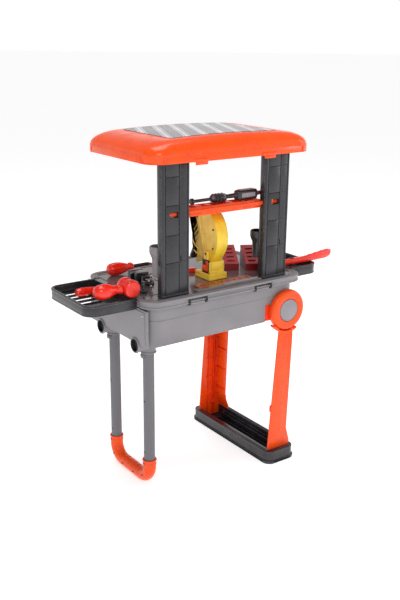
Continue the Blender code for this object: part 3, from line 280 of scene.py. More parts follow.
def make_finishes():
    """Every material of the bench, named for what it is."""
    tone = colours()
    done = {}
    # ABS, polished tool: glossy, a faint orange-peel skin about 1 mm across, edges painted pale, partly as
    # rubbed wear and partly as a painted highlight.
    done["orange"] = moulded(
        "orange_abs_polished", tone.orange, tinted(tone.orange, "E23A06", 0.35),
        tinted(tone.orange, "FFC7A8", 0.6),
        0.0011, 0.00010, (0.20, 0.34), coat=0.06, shine=0.32)
    # The same ABS on undersides and insides (arm ribs and catch, axle housings, roof sockets and ribs), made
    # redder and darker: painted shade for faces turned away from the light.
    done["orange_painted_shade"] = moulded(
        "orange_abs_painted_shade", tinted(tone.orange, "FF2A02", 0.75), tinted(tone.orange, "DC1C02", 0.75),
        tinted(tone.orange, "FF8A5C", 0.6), 0.0009, 0.00012, (0.28, 0.42), shine=0.30)
    # Polypropylene with a spark-eroded texture: matt, grain about 0.5 mm, drawn at 0.7 mm to show.
    done["grey"] = moulded(
        "grey_polypropylene_textured", tone.grey, tinted(tone.grey, "8F8B90", 0.6),
        tinted(tone.grey, "E2E0E2", 0.7),
        0.0007, 0.00010, (0.32, 0.46), blotch=0.055)
    # The deck comes off a polished tool, with clear reflections of the tools on it; its colour is the case's
    # grey painted darker, a painted reflection of the dark tools over it.
    done["deck"] = moulded(
        "grey_polypropylene_polished_painted_dark_reflections", tinted(tone.grey, "6C6468", 0.75), tinted(tone.grey, "5A5458", 0.8),
        tinted(tone.grey, "E2E0E2", 0.6),
        0.0009, 0.00006, (0.08, 0.20), coat=0.30, blotch=0.040)
    # Polypropylene with a satin skin: near black, broad soft reflections, edges painted pale grey, a painted
    # highlight where they catch the light and partly rubbed wear.
    done["black"] = moulded(
        "black_polypropylene_satin", tone.black, tinted(tone.black, "47484D", 0.45),
        tinted(tone.black, "8D8E94", 0.8),
        0.0008, 0.00008, (0.16, 0.30), coat=0.10, blotch=0.045)
    # Charcoal polypropylene, etched: a dry surface with a fine vertical drag.
    done["charcoal"] = moulded(
        "charcoal_polypropylene_etched", tone.charcoal, tinted(tone.charcoal, "303036", 0.55),
        tinted(tone.charcoal, "85858C", 0.7), 0.0007, 0.00008, (0.22, 0.38), blotch=0.050)
    # Yellow ABS: warm, slightly translucent look, glossy.
    done["yellow"] = moulded(
        "yellow_abs_polished", tone.yellow, tinted(tone.yellow, "E0A21C", 0.45),
        tinted(tone.yellow, "FFF3B8", 0.7),
        0.0010, 0.00010, (0.26, 0.40), coat=0.20, blotch=0.022)
    # Red ABS for toy tools: bright, glossy, mould flow seen as darker clouds.
    done["red"] = moulded(
        "red_abs_polished", tone.red, tinted(tone.red, "C81206", 0.40), tinted(tone.red, "FF9A86", 0.6),
        0.0010, 0.00010, (0.20, 0.36), coat=0.30, blotch=0.018)
    done["board"] = moulded(
        "dark_red_abs", tone.board, tinted(tone.board, "6E0A0E", 0.6), tinted(tone.board, "D96A66", 0.6),
        0.0008, 0.00010, (0.28, 0.42), coat=0.15, blotch=0.014)
    # The boards' dark red lightened to rose: a painted sheen for upward faces lit from above.
    done["board_top_painted_sheen"] = moulded(
        "rose_painted_sheen_on_red_abs", tone.board_top_painted_sheen, tinted(tone.board_top_painted_sheen, "B24A52", 0.5),
        tinted(tone.board_top_painted_sheen, "F2B8B6", 0.6),
        0.0008, 0.00010, (0.30, 0.46), blotch=0.012)
    # Soft orange styrene of the perforated strip, mottled dark brown as painted reflection.
    done["strip"] = moulded(
        "terracotta_styrene_painted_reflections", tone.strip, tinted(tone.strip, "8E3A1E", 0.75),
        tinted(tone.strip, "F0B07C", 0.6),
        0.0009, 0.00010, (0.26, 0.44), blotch=0.006)
    # Vacuum-metallised plastic: mirror-like with a slight haze, worn grey on its edges.
    done["chrome"] = moulded(
        "metallised_plastic", tone.chrome, tinted(tone.chrome, "9A9AA6", 0.5),
        tinted(tone.chrome, "77767C", 0.7),
        0.0012, 0.00006, (0.14, 0.30), metal=1.0, blotch=0.012)
    # Powder-coated steel tube: satin, a tight pebble about 0.6 mm across.
    done["tube"] = moulded(
        "grey_powder_coated_steel", tone.tube, tinted(tone.tube, "6C6B70", 0.6),
        tinted(tone.tube, "B9B8BC", 0.6),
        0.0006, 0.00012, (0.34, 0.48), blotch=0.040)
    # Hub caps: the case's grey with a smoother face.
    done["hub"] = moulded(
        "grey_polypropylene_smooth", tinted(tone.grey, "9A969B", 0.6), tinted(tone.grey, "A29AA4", 0.6),
        tinted(tone.grey, "D8D6DA", 0.6), 0.0009, 0.00008, (0.32, 0.46), blotch=0.020)
    # Near black: the colour of small dark screws and rivets, and painted shade on blocks set into notches,
    # slots, bores and recesses.
    done["dark"] = moulded(
        "dark_screws_and_painted_recess_shade", linear("0C0B0D"), linear("17161A"), linear("2A292E"),
        0.0010, 0.00008, (0.45, 0.65))
    done["print"] = printed_film()
    return done


def printed_film():
    """Glossy printed film on the roof: slanting bars in greys over a pale ground, with no lettering."""
    made, tree, shader = blank("printed_vinyl_film")
    ground = colours().film
    place = add(tree, "ShaderNodeTexCoord").outputs["Object"]
    slanted = add(tree, "ShaderNodeMapping", {}, {"Vector": place, "Rotation": (0, 0, math.radians(24))})
    # Bars about 36 mm apart.
    bars = add(
        tree,
        "ShaderNodeTexWave",
        {"wave_type": "BANDS", "bands_direction": "X"},
        {"Vector": slanted.outputs["Vector"], "Scale": 8.6, "Distortion": 0.0},
    )
    steps = add(tree, "ShaderNodeValToRGB", {}, {"Fac": bars.outputs["Fac"]})
    ramp = steps.color_ramp
    ramp.interpolation = "CONSTANT"
    ramp.elements[0].color = (*tinted(ground, "8C8489", 0.65), 1)
    ramp.elements[1].position = 0.34
    ramp.elements[1].color = (*ground, 1)
    for at, hex_colour in ((0.62, "C9C6CB"), (0.80, "9A9196"), (0.93, "D6D3D7")):
        ramp.elements.new(at).color = (*linear(hex_colour), 1)
    panes = add(
        tree,
        "ShaderNodeTexVoronoi",
        {"distance": "CHEBYCHEV"},
        {"Vector": slanted.outputs["Vector"], "Scale": 17.0, "Randomness": 0.55},
    )
    patch = add(
        tree,
        "ShaderNodeMapRange",
        {},
        {"Value": panes.outputs["Distance"], "From Min": 0.20, "From Max": 0.55, "To Min": 0.86,
         "To Max": 1.05},
    )
    inked = add(
        tree,
        "ShaderNodeMix",
        {"data_type": "RGBA", "blend_type": "MULTIPLY"},
        {"Factor": 1.0, 6: steps.outputs["Color"], 7: patch.outputs["Result"]},
    )
    fine = add(tree, "ShaderNodeTexNoise", {}, {"Vector": place, "Scale": 1 / 0.004, "Detail": 3.0})
    rough = add(
        tree, "ShaderNodeMapRange", {}, {"Value": fine.outputs["Fac"], "To Min": 0.16, "To Max": 0.34}
    )
    ripple = add(tree, "ShaderNodeBump", {},
                 {"Height": fine.outputs["Fac"], "Strength": 0.35, "Distance": 0.0001})
    tree.links.new(inked.outputs[2], shader.inputs["Base Color"])
    tree.links.new(rough.outputs["Result"], shader.inputs["Roughness"])
    tree.links.new(ripple.outputs["Normal"], shader.inputs["Normal"])
    shader.inputs["Coat Weight"].default_value = 0.12
    shader.inputs["Coat Roughness"].default_value = 0.08
    shader.inputs["Specular IOR Level"].default_value = 0.30
    return made


FINISHES = {}


def finish(name):
    """A material from the set, made the first time that one is asked for."""
    if not FINISHES:
        FINISHES.update(make_finishes())
    return FINISHES[name]


# Shapes.


def round_edges(shape, edges, offset, segments=2):
    bmesh.ops.bevel(
        shape,
        geom=edges,
        offset=offset,
        offset_type="OFFSET",
        segments=segments,
        profile=0.5,
        affect="EDGES",
        material=-1,
        clamp_overlap=True,
    )
    return shape


def sharp_edges(shape, degrees=30):
    limit = math.radians(degrees)
    return [e for e in shape.edges if len(e.link_faces) == 2 and e.calc_face_angle(0.0) > limit]


def block(low, high, rounding=0.0, segments=2):
    """A box from corner to corner with rounded edges."""
    shape = bmesh.new()
    low, high = Vector(low), Vector(high)
    place = Matrix.Translation((low + high) / 2) @ Matrix.Diagonal((*(high - low), 1.0))
    bmesh.ops.create_cube(shape, size=1.0, matrix=place)
    if rounding:
        round_edges(shape, shape.edges[:], min(rounding, min(high - low) * 0.45), segments)
    return shape


def upright_edges(shape, keep):
    return [
        e
        for e in shape.edges
        if abs(e.verts[0].co.z - e.verts[1].co.z) > 1e-6 and keep((e.verts[0].co + e.verts[1].co) / 2)
    ]


def slab(low, high, corner, rounding=0.0, other_corner=None, segments=8):
    """A box with round upright corners; other_corner is for the corners on its +X side."""
    shape = block(low, high)
    middle = (low[0] + high[0]) / 2
    if other_corner is None:
        round_edges(shape, upright_edges(shape, lambda at: True), corner, segments)
    else:
        round_edges(shape, upright_edges(shape, lambda at: at.x < middle), corner, segments)
        outer = [e for e in upright_edges(shape, lambda at: at.x > middle) if e.calc_face_angle(0.0) > 1.2]
        round_edges(shape, outer, other_corner, segments)
    if rounding:
        round_edges(shape, level_rims(shape), rounding, 2)
    return shape


def level_rims(shape):
    """Edges round the flat top and bottom of a shape."""
    rims = []
    for edge in shape.edges:
        tilt = [abs(face.normal.z) > 0.9 for face in edge.link_faces]
        if len(tilt) == 2 and tilt[0] != tilt[1]:
            rims.append(edge)
    return rims


def ring(low, high, corner, wall, rounding=0.0, other_corner=None, segments=8):
    """A closed band round a rounded rectangle, its wall measured inwards."""
    shape = slab(low, high, corner, 0.0, other_corner, segments)
    caps = [f for f in shape.faces if abs(f.normal.z) > 0.9]
    bmesh.ops.inset_region(shape, faces=caps, thickness=wall, use_even_offset=True, use_boundary=True)
    bmesh.ops.delete(shape, geom=[f for f in caps if f.is_valid], context="FACES")
    open_edges = [e for e in shape.edges if e.is_boundary]
    bmesh.ops.bridge_loops(shape, edges=open_edges)
    bmesh.ops.recalc_face_normals(shape, faces=shape.faces[:])
    if rounding:
        round_edges(shape, level_rims(shape), rounding, 2)
    return shape


def towards(direction):
    """The turn that takes +Z to a direction."""
    return Vector((0, 0, 1)).rotation_difference(Vector(direction)).to_matrix().to_4x4()


def rod(start, end, radius, tip=None, sides=32, rounding=0.0):
    """A cylinder or cone between two points."""
    start, end = Vector(start), Vector(end)
    shape = bmesh.new()
    bmesh.ops.create_cone(
        shape,
        cap_ends=True,
        segments=sides,
        radius1=radius,
        radius2=radius if tip is None else tip,
        depth=(end - start).length,
    )
    if rounding:
        round_edges(shape, level_rims(shape), rounding, 2)
    place = Matrix.Translation((start + end) / 2) @ towards(end - start)
    bmesh.ops.transform(shape, matrix=place, verts=shape.verts[:])
    return shape


def turned(profile, origin, direction=(0, 0, 1), steps=48, sweep=360.0, start=0.0):
    """A profile of (radius, height) points turned about a direction through the origin."""
    shape = bmesh.new()
    points = [shape.verts.new((radius, 0.0, height)) for radius, height in profile]
    edges = [shape.edges.new(pair) for pair in zip(points, points[1:])]
    whole = sweep >= 360.0
    if not whole:
        edges.append(shape.edges.new((points[-1], points[0])))
        bmesh.ops.rotate(shape, verts=points, cent=(0, 0, 0),
                         matrix=Matrix.Rotation(math.radians(start), 3, "Z"))
    bmesh.ops.spin(
        shape,
        geom=points + edges,
        cent=(0, 0, 0),
        axis=(0, 0, 1),
        angle=math.radians(sweep),
        steps=steps,
        use_merge=whole,
        use_duplicate=False,
    )
    bmesh.ops.remove_doubles(shape, verts=shape.verts[:], dist=1e-6)
    if not whole:
        bmesh.ops.holes_fill(shape, edges=[e for e in shape.edges if e.is_boundary], sides=0)
    place = Matrix.Translation(origin) @ towards(direction)
    bmesh.ops.transform(shape, matrix=place, verts=shape.verts[:])
    return shape


def plate(points, axis, low, high, rounding=0.0, segments=2):
    """A flat outline in two coordinates, given thickness along the third axis."""
    third = "XYZ".index(axis)
    shape = bmesh.new()
    corners = []
    for first, second in points:
        place = [first, second]
        place.insert(third, low)
        corners.append(shape.verts.new(place))
    face = shape.faces.new(corners)
    grown = bmesh.ops.extrude_face_region(shape, geom=[face])["geom"]
    shift = Vector((0, 0, 0))
    shift[third] = high - low
    bmesh.ops.translate(shape, vec=shift, verts=[v for v in grown if isinstance(v, bmesh.types.BMVert)])
    bmesh.ops.recalc_face_normals(shape, faces=shape.faces[:])
    if rounding:
        round_edges(shape, sharp_edges(shape, 25), rounding, segments)
    return shape


def pierced(shape, axis, low, high):
    """Cuts a square hole right through a plain block along an axis; low and high are its corners."""
    through = "XYZ".index(axis)
    across = [i for i in range(3) if i != through]
    for i in across:
        for level in (low[i], high[i]):
            normal = Vector((0, 0, 0))
            normal[i] = 1
            spot = Vector((0, 0, 0))
            spot[i] = level
            everything = shape.verts[:] + shape.edges[:] + shape.faces[:]
            bmesh.ops.bisect_plane(shape, geom=everything, dist=1e-7, plane_co=spot, plane_no=normal)
    doomed = []
    for face in shape.faces:
        middle = face.calc_center_median()
        if abs(face.normal[through]) > 0.9 and all(low[i] < middle[i] < high[i] for i in across):
            doomed.append(face)
    bmesh.ops.delete(shape, geom=doomed, context="FACES")
    bmesh.ops.bridge_loops(shape, edges=[e for e in shape.edges if e.is_boundary])
    return shape


def moved(shape, matrix):
    bmesh.ops.transform(shape, matrix=matrix, verts=shape.verts[:])
    return shape


def from_frame(node, rounding, degrees=30):
    """A frame part's own shape with its sharp edges rounded."""
    shape = bmesh.new()
    shape.from_mesh(frame["nodes"][node].data)
    bmesh.ops.remove_doubles(shape, verts=shape.verts[:], dist=1e-5)
    bmesh.ops.dissolve_limit(
        shape, angle_limit=math.radians(1.0), verts=shape.verts[:], edges=shape.edges[:],
        use_dissolve_boundaries=False
    )
    if rounding:
        round_edges(shape, sharp_edges(shape, degrees), rounding)
    return shape


def screw_head(at, direction, radius):
    """A small domed screw head with a dimple, standing a little proud of the surface."""
    profile = [(0, 0.0004), (radius * 0.35, 0.0004), (radius * 0.45, 0.0010), (radius * 0.8, 0.0008),
               (radius, -0.0006)]
    return turned(list(reversed(profile)), at, direction, steps=20)


def piece(name, shapes, material, body, *stands_for, smooth=32):
    """Joins shapes into one named piece that rides on a body and stands for the frame parts named."""
    total = bmesh.new()
    for shape in shapes:
        bmesh.ops.recalc_face_normals(shape, faces=shape.faces[:])
        holder = bpy.data.meshes.new(name)
        shape.to_mesh(holder)
        shape.free()
        total.from_mesh(holder)
        bpy.data.meshes.remove(holder)
    mesh = bpy.data.meshes.new(name)
    total.to_mesh(mesh)
    total.free()
    if not mesh.polygons:
        raise RuntimeError(f"{name} has no faces")
    mesh.materials.append(finish(material))
    mesh.shade_smooth()
    mesh.set_sharp_from_angle(angle=math.radians(smooth))
    made = bpy.data.objects.new(name, mesh)
    bpy.context.scene.collection.objects.link(made)
    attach(made, body)
    if stands_for:
        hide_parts(*stands_for)
    return made


def paint(node, material):
    """Gives a frame part that keeps its shape its finished material."""
    mesh = frame["nodes"][node].data
    for i in range(max(1, len(mesh.materials))):
        if i < len(mesh.materials):
            mesh.materials[i] = finish(material)
        else:
            mesh.materials.append(finish(material))


def span(node):
    """Lowest and highest corner of a frame part, and its middle."""
    low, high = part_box(node)
    return low, high, (low + high) / 2


# Case.


class BENCH_OT_case(bpy.types.Operator):
    """Case tub: its shell, the beads of its rim, the line round its wall and the two latch seats"""

    bl_idname = "bench.case"
    bl_label = "Case tub"

    def execute(self, context):
        low, high, _ = span("case_tub")
        size = sizes()
        bead = size.rim_bead
        corner = CORNER_RADIUS
        wall_low = Vector((low.x + WALL_INSET_LEFT, low.y + WALL_INSET_SIDE, low.z))
        wall_high = Vector((high.x - WALL_INSET_RIGHT, high.y - WALL_INSET_SIDE, high.z))
        piece("case_tub_shell", [from_frame("case_tub", 0.0)], "grey", "case", "case_tub", smooth=28)
        top = ring(
            (low.x - bead * 0.6, low.y - bead * 0.6, high.z - 0.0042),
            (high.x + bead * 0.6, high.y + bead * 0.6, high.z + 0.0006),
            corner, 0.0045, 0.0011, segments=12)
        foot = ring(
            (low.x - bead, low.y - bead, high.z - 0.0140), (high.x + bead, high.y + bead, high.z - 0.0104),
            corner + bead, 0.0040, 0.0010, segments=12)
        inner = ring(
            (low.x + 0.0066, low.y + 0.0066, high.z - 0.0020),
            (high.x - 0.0066, high.y - 0.0066, high.z + 0.0011),
            corner - 0.0066, 0.0022, 0.0008, segments=12)
        self.open_seats(foot, low)
        line = ring(
            (wall_low.x - 0.0005, wall_low.y - 0.0005, 0.3735),
            (wall_high.x + 0.0005, wall_high.y + 0.0005, 0.3757),
            0.028, 0.0020, 0.0004, segments=12)
        step = ring(
            (wall_low.x - 0.0018, wall_low.y - 0.0018, high.z - 0.0185),
            (wall_high.x + 0.0018, wall_high.y + 0.0018, high.z - 0.0140),
            0.029, 0.0030, 0.0009, segments=12)
        self.open_seats(step, low)
        piece("case_rim_beads", [top, foot, inner], "grey", "case")
        piece("case_wall_lines", [line, step], "grey", "case")
        self.latch_seats(low, high)
        return {"FINISHED"}

    @staticmethod
    def seat_spans(low):
        middle = (low.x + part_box("case_tub")[1].x) / 2
        return [(middle - 0.1055, middle - 0.0585), (middle + 0.0585, middle + 0.1055)]

    def open_seats(self, shape, low):
        """Takes the beads away across the latch seats on the near side and closes the cut ends."""
        for left, right in self.seat_spans(low):
            for x in (left, right):
                everything = shape.verts[:] + shape.edges[:] + shape.faces[:]
                bmesh.ops.bisect_plane(shape, geom=everything, dist=1e-7, plane_co=(x, 0, 0),
                                       plane_no=(1, 0, 0))
            doomed = [
                f for f in shape.faces
                if left < f.calc_center_median().x < right and f.calc_center_median().y < 0
            ]
            bmesh.ops.delete(shape, geom=doomed, context="FACES")
        bmesh.ops.holes_fill(shape, edges=[e for e in shape.edges if e.is_boundary], sides=0)

    def latch_seats(self, low, high):
        face = low.y
        notch_shades, bars = [], []
        for left, right in self.seat_spans(low):
            for x in (left + 0.0035, right - 0.0035):
                notch_shades.append(block((x - 0.0032, face - 0.0004, high.z - 0.0172),
                                     (x + 0.0032, face + 0.0056, high.z - 0.0048), 0.0007))
            bars.append(rod((left + 0.0065, face + 0.0010, high.z - 0.0100),
                            (right - 0.0065, face + 0.0010, high.z - 0.0100), 0.0017, sides=16))
            bars.append(block((left + 0.0065, face + 0.0006, high.z - 0.0170),
                              (right - 0.0065, face + 0.0058, high.z - 0.0128), 0.0009))
        # Dark blocks in the notches: painted shade for their hollows.
        piece("latch_seat_notch_shades", notch_shades, "dark", "case")
        piece("latch_seat_bars", bars, "grey", "case")


class BENCH_OT_deck(bpy.types.Operator):
    """Deck panel: the work surface with its raised edge, tool outlines and screws"""

    bl_idname = "bench.deck"
    bl_label = "Deck panel"

    def execute(self, context):
        low, high, middle = span("deck_panel")
        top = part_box("case_tub")[1].z
        size = sizes()
        lip = ring((low.x + 0.0012, low.y + 0.0012, top - 0.0010),
                   (high.x - 0.0012, high.y - 0.0012, top + 0.0014), 0.0280, 0.0022, 0.0008, segments=12)
        outlines = [
            ring((middle.x - 0.178, 0.052, top - 0.0006), (middle.x - 0.030, 0.104, top + 0.0008), 0.010,
                 0.0016, 0.0004),
            ring((middle.x - 0.176, -0.078, top - 0.0006), (middle.x - 0.090, 0.044, top + 0.0008), 0.008,
                 0.0016, 0.0004),
            ring((middle.x - 0.078, 0.004, top - 0.0006), (middle.x + 0.000, 0.046, top + 0.0008), 0.008,
                 0.0016, 0.0004),
        ]
        bosses = []
        for x, y in ((-0.150, 0.088), (0.150, 0.090), (-0.010, 0.096), (0.070, 0.096)):
            bosses.append(screw_head((middle.x + x, y, top + 0.0003), (0, 0, 1), size.screw_head))
        paint("deck_panel", "deck")
        piece("deck_lip", [lip], "deck", "case")
        piece("deck_tool_outlines", outlines, "deck", "case")
        piece("deck_screws", bosses, "chrome", "case")
        return {"FINISHED"}


class BENCH_OT_bracket(bpy.types.Operator):
    """End bracket: plate, handle channels, leg sockets, their collars and the black liners"""

    bl_idname = "bench.bracket"
    bl_label = "End bracket"

    def execute(self, context):
        size = sizes()
        paint("end_bracket", "grey")
        collars, screws = [], []
        mouth = span("end_bracket")[0].z
        tub_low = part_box("case_tub")[0]
        face = tub_low.x + WALL_INSET_LEFT - 0.0003 - 0.0037
        for side, _ in SIDES:
            liner_low, liner_high, liner = span(f"channel_liner_{side}")
            tube = span(f"leg_tube_{side}")[2]
            outer = (liner_high.z - liner_low.z) / 2
            collars.append(turned(
                [(outer + 0.0004, 0), (outer + 0.0028, 0.0004), (outer + 0.0034, 0.0020),
                 (outer + 0.0022, 0.0036), (outer + 0.0019, 0.0036), (outer + 0.0004, 0)],
                (liner_low.x + 0.0002, liner.y, liner.z), (1, 0, 0), steps=40))
            collars.append(turned(
                [(0.0122, 0), (0.0158, 0.0006), (0.0164, 0.0022), (0.0150, 0.0040), (0.0122, 0.0040),
                 (0.0122, 0)],
                (tube.x, tube.y, mouth - 0.0002), (0, 0, 1), steps=40))
            self.liner(side, liner_low, liner_high, liner)
        for y in (-0.095, -0.030, 0.030, 0.095):
            screws.append(screw_head((face - 0.0002, y, 0.385), (-1, 0, 0), size.screw_head))
        border = [
            block((face - 0.0012, -0.1040, 0.3280), (face + 0.0010, -0.1018, 0.3935), 0.0008),
            block((face - 0.0012, 0.1018, 0.3280), (face + 0.0010, 0.1040, 0.3935), 0.0008),
            block((face - 0.0012, -0.1040, 0.3915), (face + 0.0010, 0.1040, 0.3937), 0.0008),
        ]
        piece("bracket_collars", collars, "grey", "case")
        piece("bracket_border", border, "grey", "case")
        piece("bracket_screws", screws, "chrome", "case")
        return {"FINISHED"}

    def liner(self, side, low, high, middle):
        """A black bush with a chamfered mouth, and a dark plug a little way in that is painted shade for the
        depth of the bore.
        """
        outer = (high.z - low.z) / 2
        inner = outer - 0.0013
        profile = [(inner, 0.0150), (inner, 0.0012), (inner + 0.0006, 0.0), (outer, 0.0), (outer, 0.0150),
                   (inner, 0.0150)]
        # The plug closes the bore with a dark disc: painted shade for its depth.
        bore_shade_plug = rod((low.x + 0.0060, middle.y, middle.z), (low.x + 0.0140, middle.y, middle.z),
                   inner + 0.0002, sides=40)
        piece(f"channel_bush_{side}",
              [turned(profile, (low.x - 0.0004, middle.y, middle.z), (1, 0, 0), steps=40), bore_shade_plug],
              "dark", "case", f"channel_liner_{side}")


# Handle.


class BENCH_OT_handle(bpy.types.Operator):
    """Pull handle: two tubes with their lock holes, the snap buttons and the U grip with finger grooves"""

    bl_idname = "bench.handle"
    bl_label = "Pull handle"

    def execute(self, context):
        size = sizes()
        for side, _ in SIDES:
            paint(f"leg_tube_{side}", "tube")
            low, _, middle = span(f"snap_button_{side}")
            radius = 0.0055
            dome = [(0, 0.0), (radius * 0.55, 0.0006), (radius * 0.86, 0.0016), (radius, 0.0034),
                    (radius, 0.0114),
                    (radius + 0.0010, 0.0114), (radius + 0.0010, 0.0122), (0, 0.0122)]
            piece(f"snap_button_dome_{side}",
                  [turned(dome, (low.x, middle.y, middle.z), (1, 0, 0), steps=32)],
                  "tube", f"{side}_snap_button", f"snap_button_{side}")
        self.grip(size)
        return {"FINISHED"}

    def grip(self, size):
        low, high, middle = span("handle_grip")
        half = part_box("leg_tube_far")[1].y - TUBE_RADIUS
        radius = 0.0138
        bend = 0.030
        centre = low.z + radius * math.cos(math.pi / 14) + bend
        top = high.z
        x = middle.x
        grooves = size.finger_groove
        shape = bmesh.new()
        start = bmesh.ops.create_circle(shape, cap_ends=False, segments=32, radius=radius - 0.0002)
        bmesh.ops.transform(shape, matrix=Matrix.Translation((x, -half, top - 0.001)), verts=start["verts"])
        rim = shape.edges[:]
        rim = self.run(shape, rim, Vector((0, 0, centre - top + 0.001)), 2)
        rim = self.bend(shape, rim, (x, -half + bend, centre), 1)
        rim = self.run(shape, rim, Vector((0, 2 * (half - bend), 0)), 60)
        rim = self.bend(shape, rim, (x, half - bend, centre), 1)
        rim = self.run(shape, rim, Vector((0, 0, top - 0.001 - centre)), 2)
        self.groove_fingers(shape, x, half - bend, centre - bend, grooves)
        rings = []
        for _, sign in SIDES:
            for level, grow in ((top - 0.0022, 0.0011), (top - 0.0105, 0.0005)):
                rings.append(turned(
                    [(0.0118, -0.0016), (radius + grow * 0.6, -0.0016), (radius + grow, -0.0006),
                     (radius + grow, 0.0008),
                     (radius + grow * 0.5, 0.0018), (0.0118, 0.0018), (0.0118, -0.0016)],
                    (x, sign * half, level), (0, 0, 1), steps=40))
        piece("grip_bar", [shape] + rings, "orange", "pull_handle", "handle_grip")
        self.screws(x, half, centre, bend, radius)

    @staticmethod
    def advance(geometry):
        edges = [g for g in geometry if isinstance(g, bmesh.types.BMEdge)]
        points = [g for g in geometry if isinstance(g, bmesh.types.BMVert)]
        return edges, points

    def run(self, shape, rim, shift, steps):
        for _ in range(steps):
            edges, points = self.advance(bmesh.ops.extrude_edge_only(shape, edges=rim)["geom"])
            bmesh.ops.translate(shape, vec=shift / steps, verts=points)
            rim = edges
        return rim

    def bend(self, shape, rim, centre, direction, steps=14):
        """A quarter turn about X through the centre."""
        turn = Matrix.Rotation(math.radians(90 / steps) * direction, 3, "X")
        for _ in range(steps):
            edges, points = self.advance(bmesh.ops.extrude_edge_only(shape, edges=rim)["geom"])
            bmesh.ops.rotate(shape, verts=points, cent=centre, matrix=turn)
            rim = edges
        return rim

    @staticmethod
    def groove_fingers(shape, x, half, axis_z, depth):
        """Shallow waves on the upper side of the bar, where the fingers close round it."""
        for vert in shape.verts:
            if abs(vert.co.y) > half - 0.004:
                continue
            rise = vert.co.z - axis_z
            side = vert.co.x - x
            away = math.hypot(rise, side)
            upper = max(0.0, rise / away)
            wave = 0.5 - 0.5 * math.cos(2 * math.pi * vert.co.y / 0.0145 + math.pi)
            scale = (away - depth * wave * upper) / away
            vert.co.x = x + side * scale
            vert.co.z = axis_z + rise * scale

    def screws(self, x, half, centre, bend, radius):
        heads = []
        spots = [(-half, 0.052), (half, 0.052), (-half + 0.009, centre - bend * 0.72),
                 (half - 0.009, centre - bend * 0.72),
                 (-0.022, centre - bend), (0.022, centre - bend)]
        for y, z in spots:
            heads.append(screw_head((x - radius + 0.0002, y, z), (-1, 0, 0), 0.0021))
        piece("grip_screws", heads, "dark", "pull_handle")


# Wheels, leg frame and foot bar.


class BENCH_OT_wheels(bpy.types.Operator):
    """Wheels with a rounded outer edge, hub caps, the axle and the two axle housings"""

    bl_idname = "bench.wheels"
    bl_label = "Wheels"

    def execute(self, context):
        size = sizes()
        for side, sign in SIDES:
            low, high, middle = span(f"wheel_{side}")
            radius = (high.z - low.z) / 2
            width = high.y - low.y
            round_off = size.tyre_round
            hub = (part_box(f"hub_cap_{side}")[1].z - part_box(f"hub_cap_{side}")[0].z) / 2
            shoulder = [
                (radius - round_off + round_off * math.sin(a), width - round_off + round_off * math.cos(a))
                for a in [math.radians(d) for d in range(84, -1, -12)]
            ]
            profile = [(0.0050, 0.0), (radius - 0.0030, 0.0), (radius - 0.0006, 0.0006),
                       (radius, 0.0024)] + shoulder
            profile += [(hub + 0.0038, width), (hub + 0.0016, width - 0.0006),
                        (hub + 0.0006, width - 0.0022),
                        (hub + 0.0003, width - 0.0040), (0.0050, width - 0.0040), (0.0050, 0.0)]
            origin = (middle.x, low.y if sign > 0 else high.y, middle.z)
            tyre = turned(profile, origin, (0, sign, 0), steps=96)
            piece(f"wheel_tyre_{side}", [tyre], "orange", f"{side}_wheel", f"wheel_{side}", smooth=40)
            self.hub(side, sign, middle, hub, low, high)
            self.housing(side, sign, size)
        paint("wheel_axle", "chrome")
        return {"FINISHED"}

    def hub(self, side, sign, middle, hub, low, high):
        outer = high.y if sign > 0 else low.y
        cap = [(0, 0.0), (hub * 0.80, 0.0), (hub * 0.84, 0.0004), (hub * 0.90, 0.0004), (hub * 0.94, 0.0),
               (hub - 0.0008, 0.0),
               (hub, 0.0010), (hub, 0.0030), (0, 0.0030)]
        place = (middle.x, outer, middle.z)
        piece(f"wheel_hub_{side}", [turned(list(reversed(cap)), place, (0, -sign, 0), steps=64)],
              "hub", f"{side}_wheel", f"hub_cap_{side}")

    def housing(self, side, sign, size):
        low, high, _ = span(f"wheel_housing_{side}")
        outer = high.y if sign > 0 else low.y
        inner = low.y if sign > 0 else high.y
        rim = sorted((outer, outer - sign * 0.0022))
        parts = [block(low, high, size.soft_edge)]
        parts.append(block((low.x + 0.0005, rim[0], low.z - 0.0012),
                           (high.x - 0.004, rim[1], low.z + 0.0030), 0.0010))
        parts.append(block((low.x + 0.012, min(inner, inner - sign * 0.001), low.z + 0.006),
                           (high.x - 0.030, max(inner, inner - sign * 0.001), high.z - 0.006), 0.0004))
        # The housings take the orange with painted shade.
        piece(f"axle_housing_{side}", parts, "orange_painted_shade", "case", f"wheel_housing_{side}")


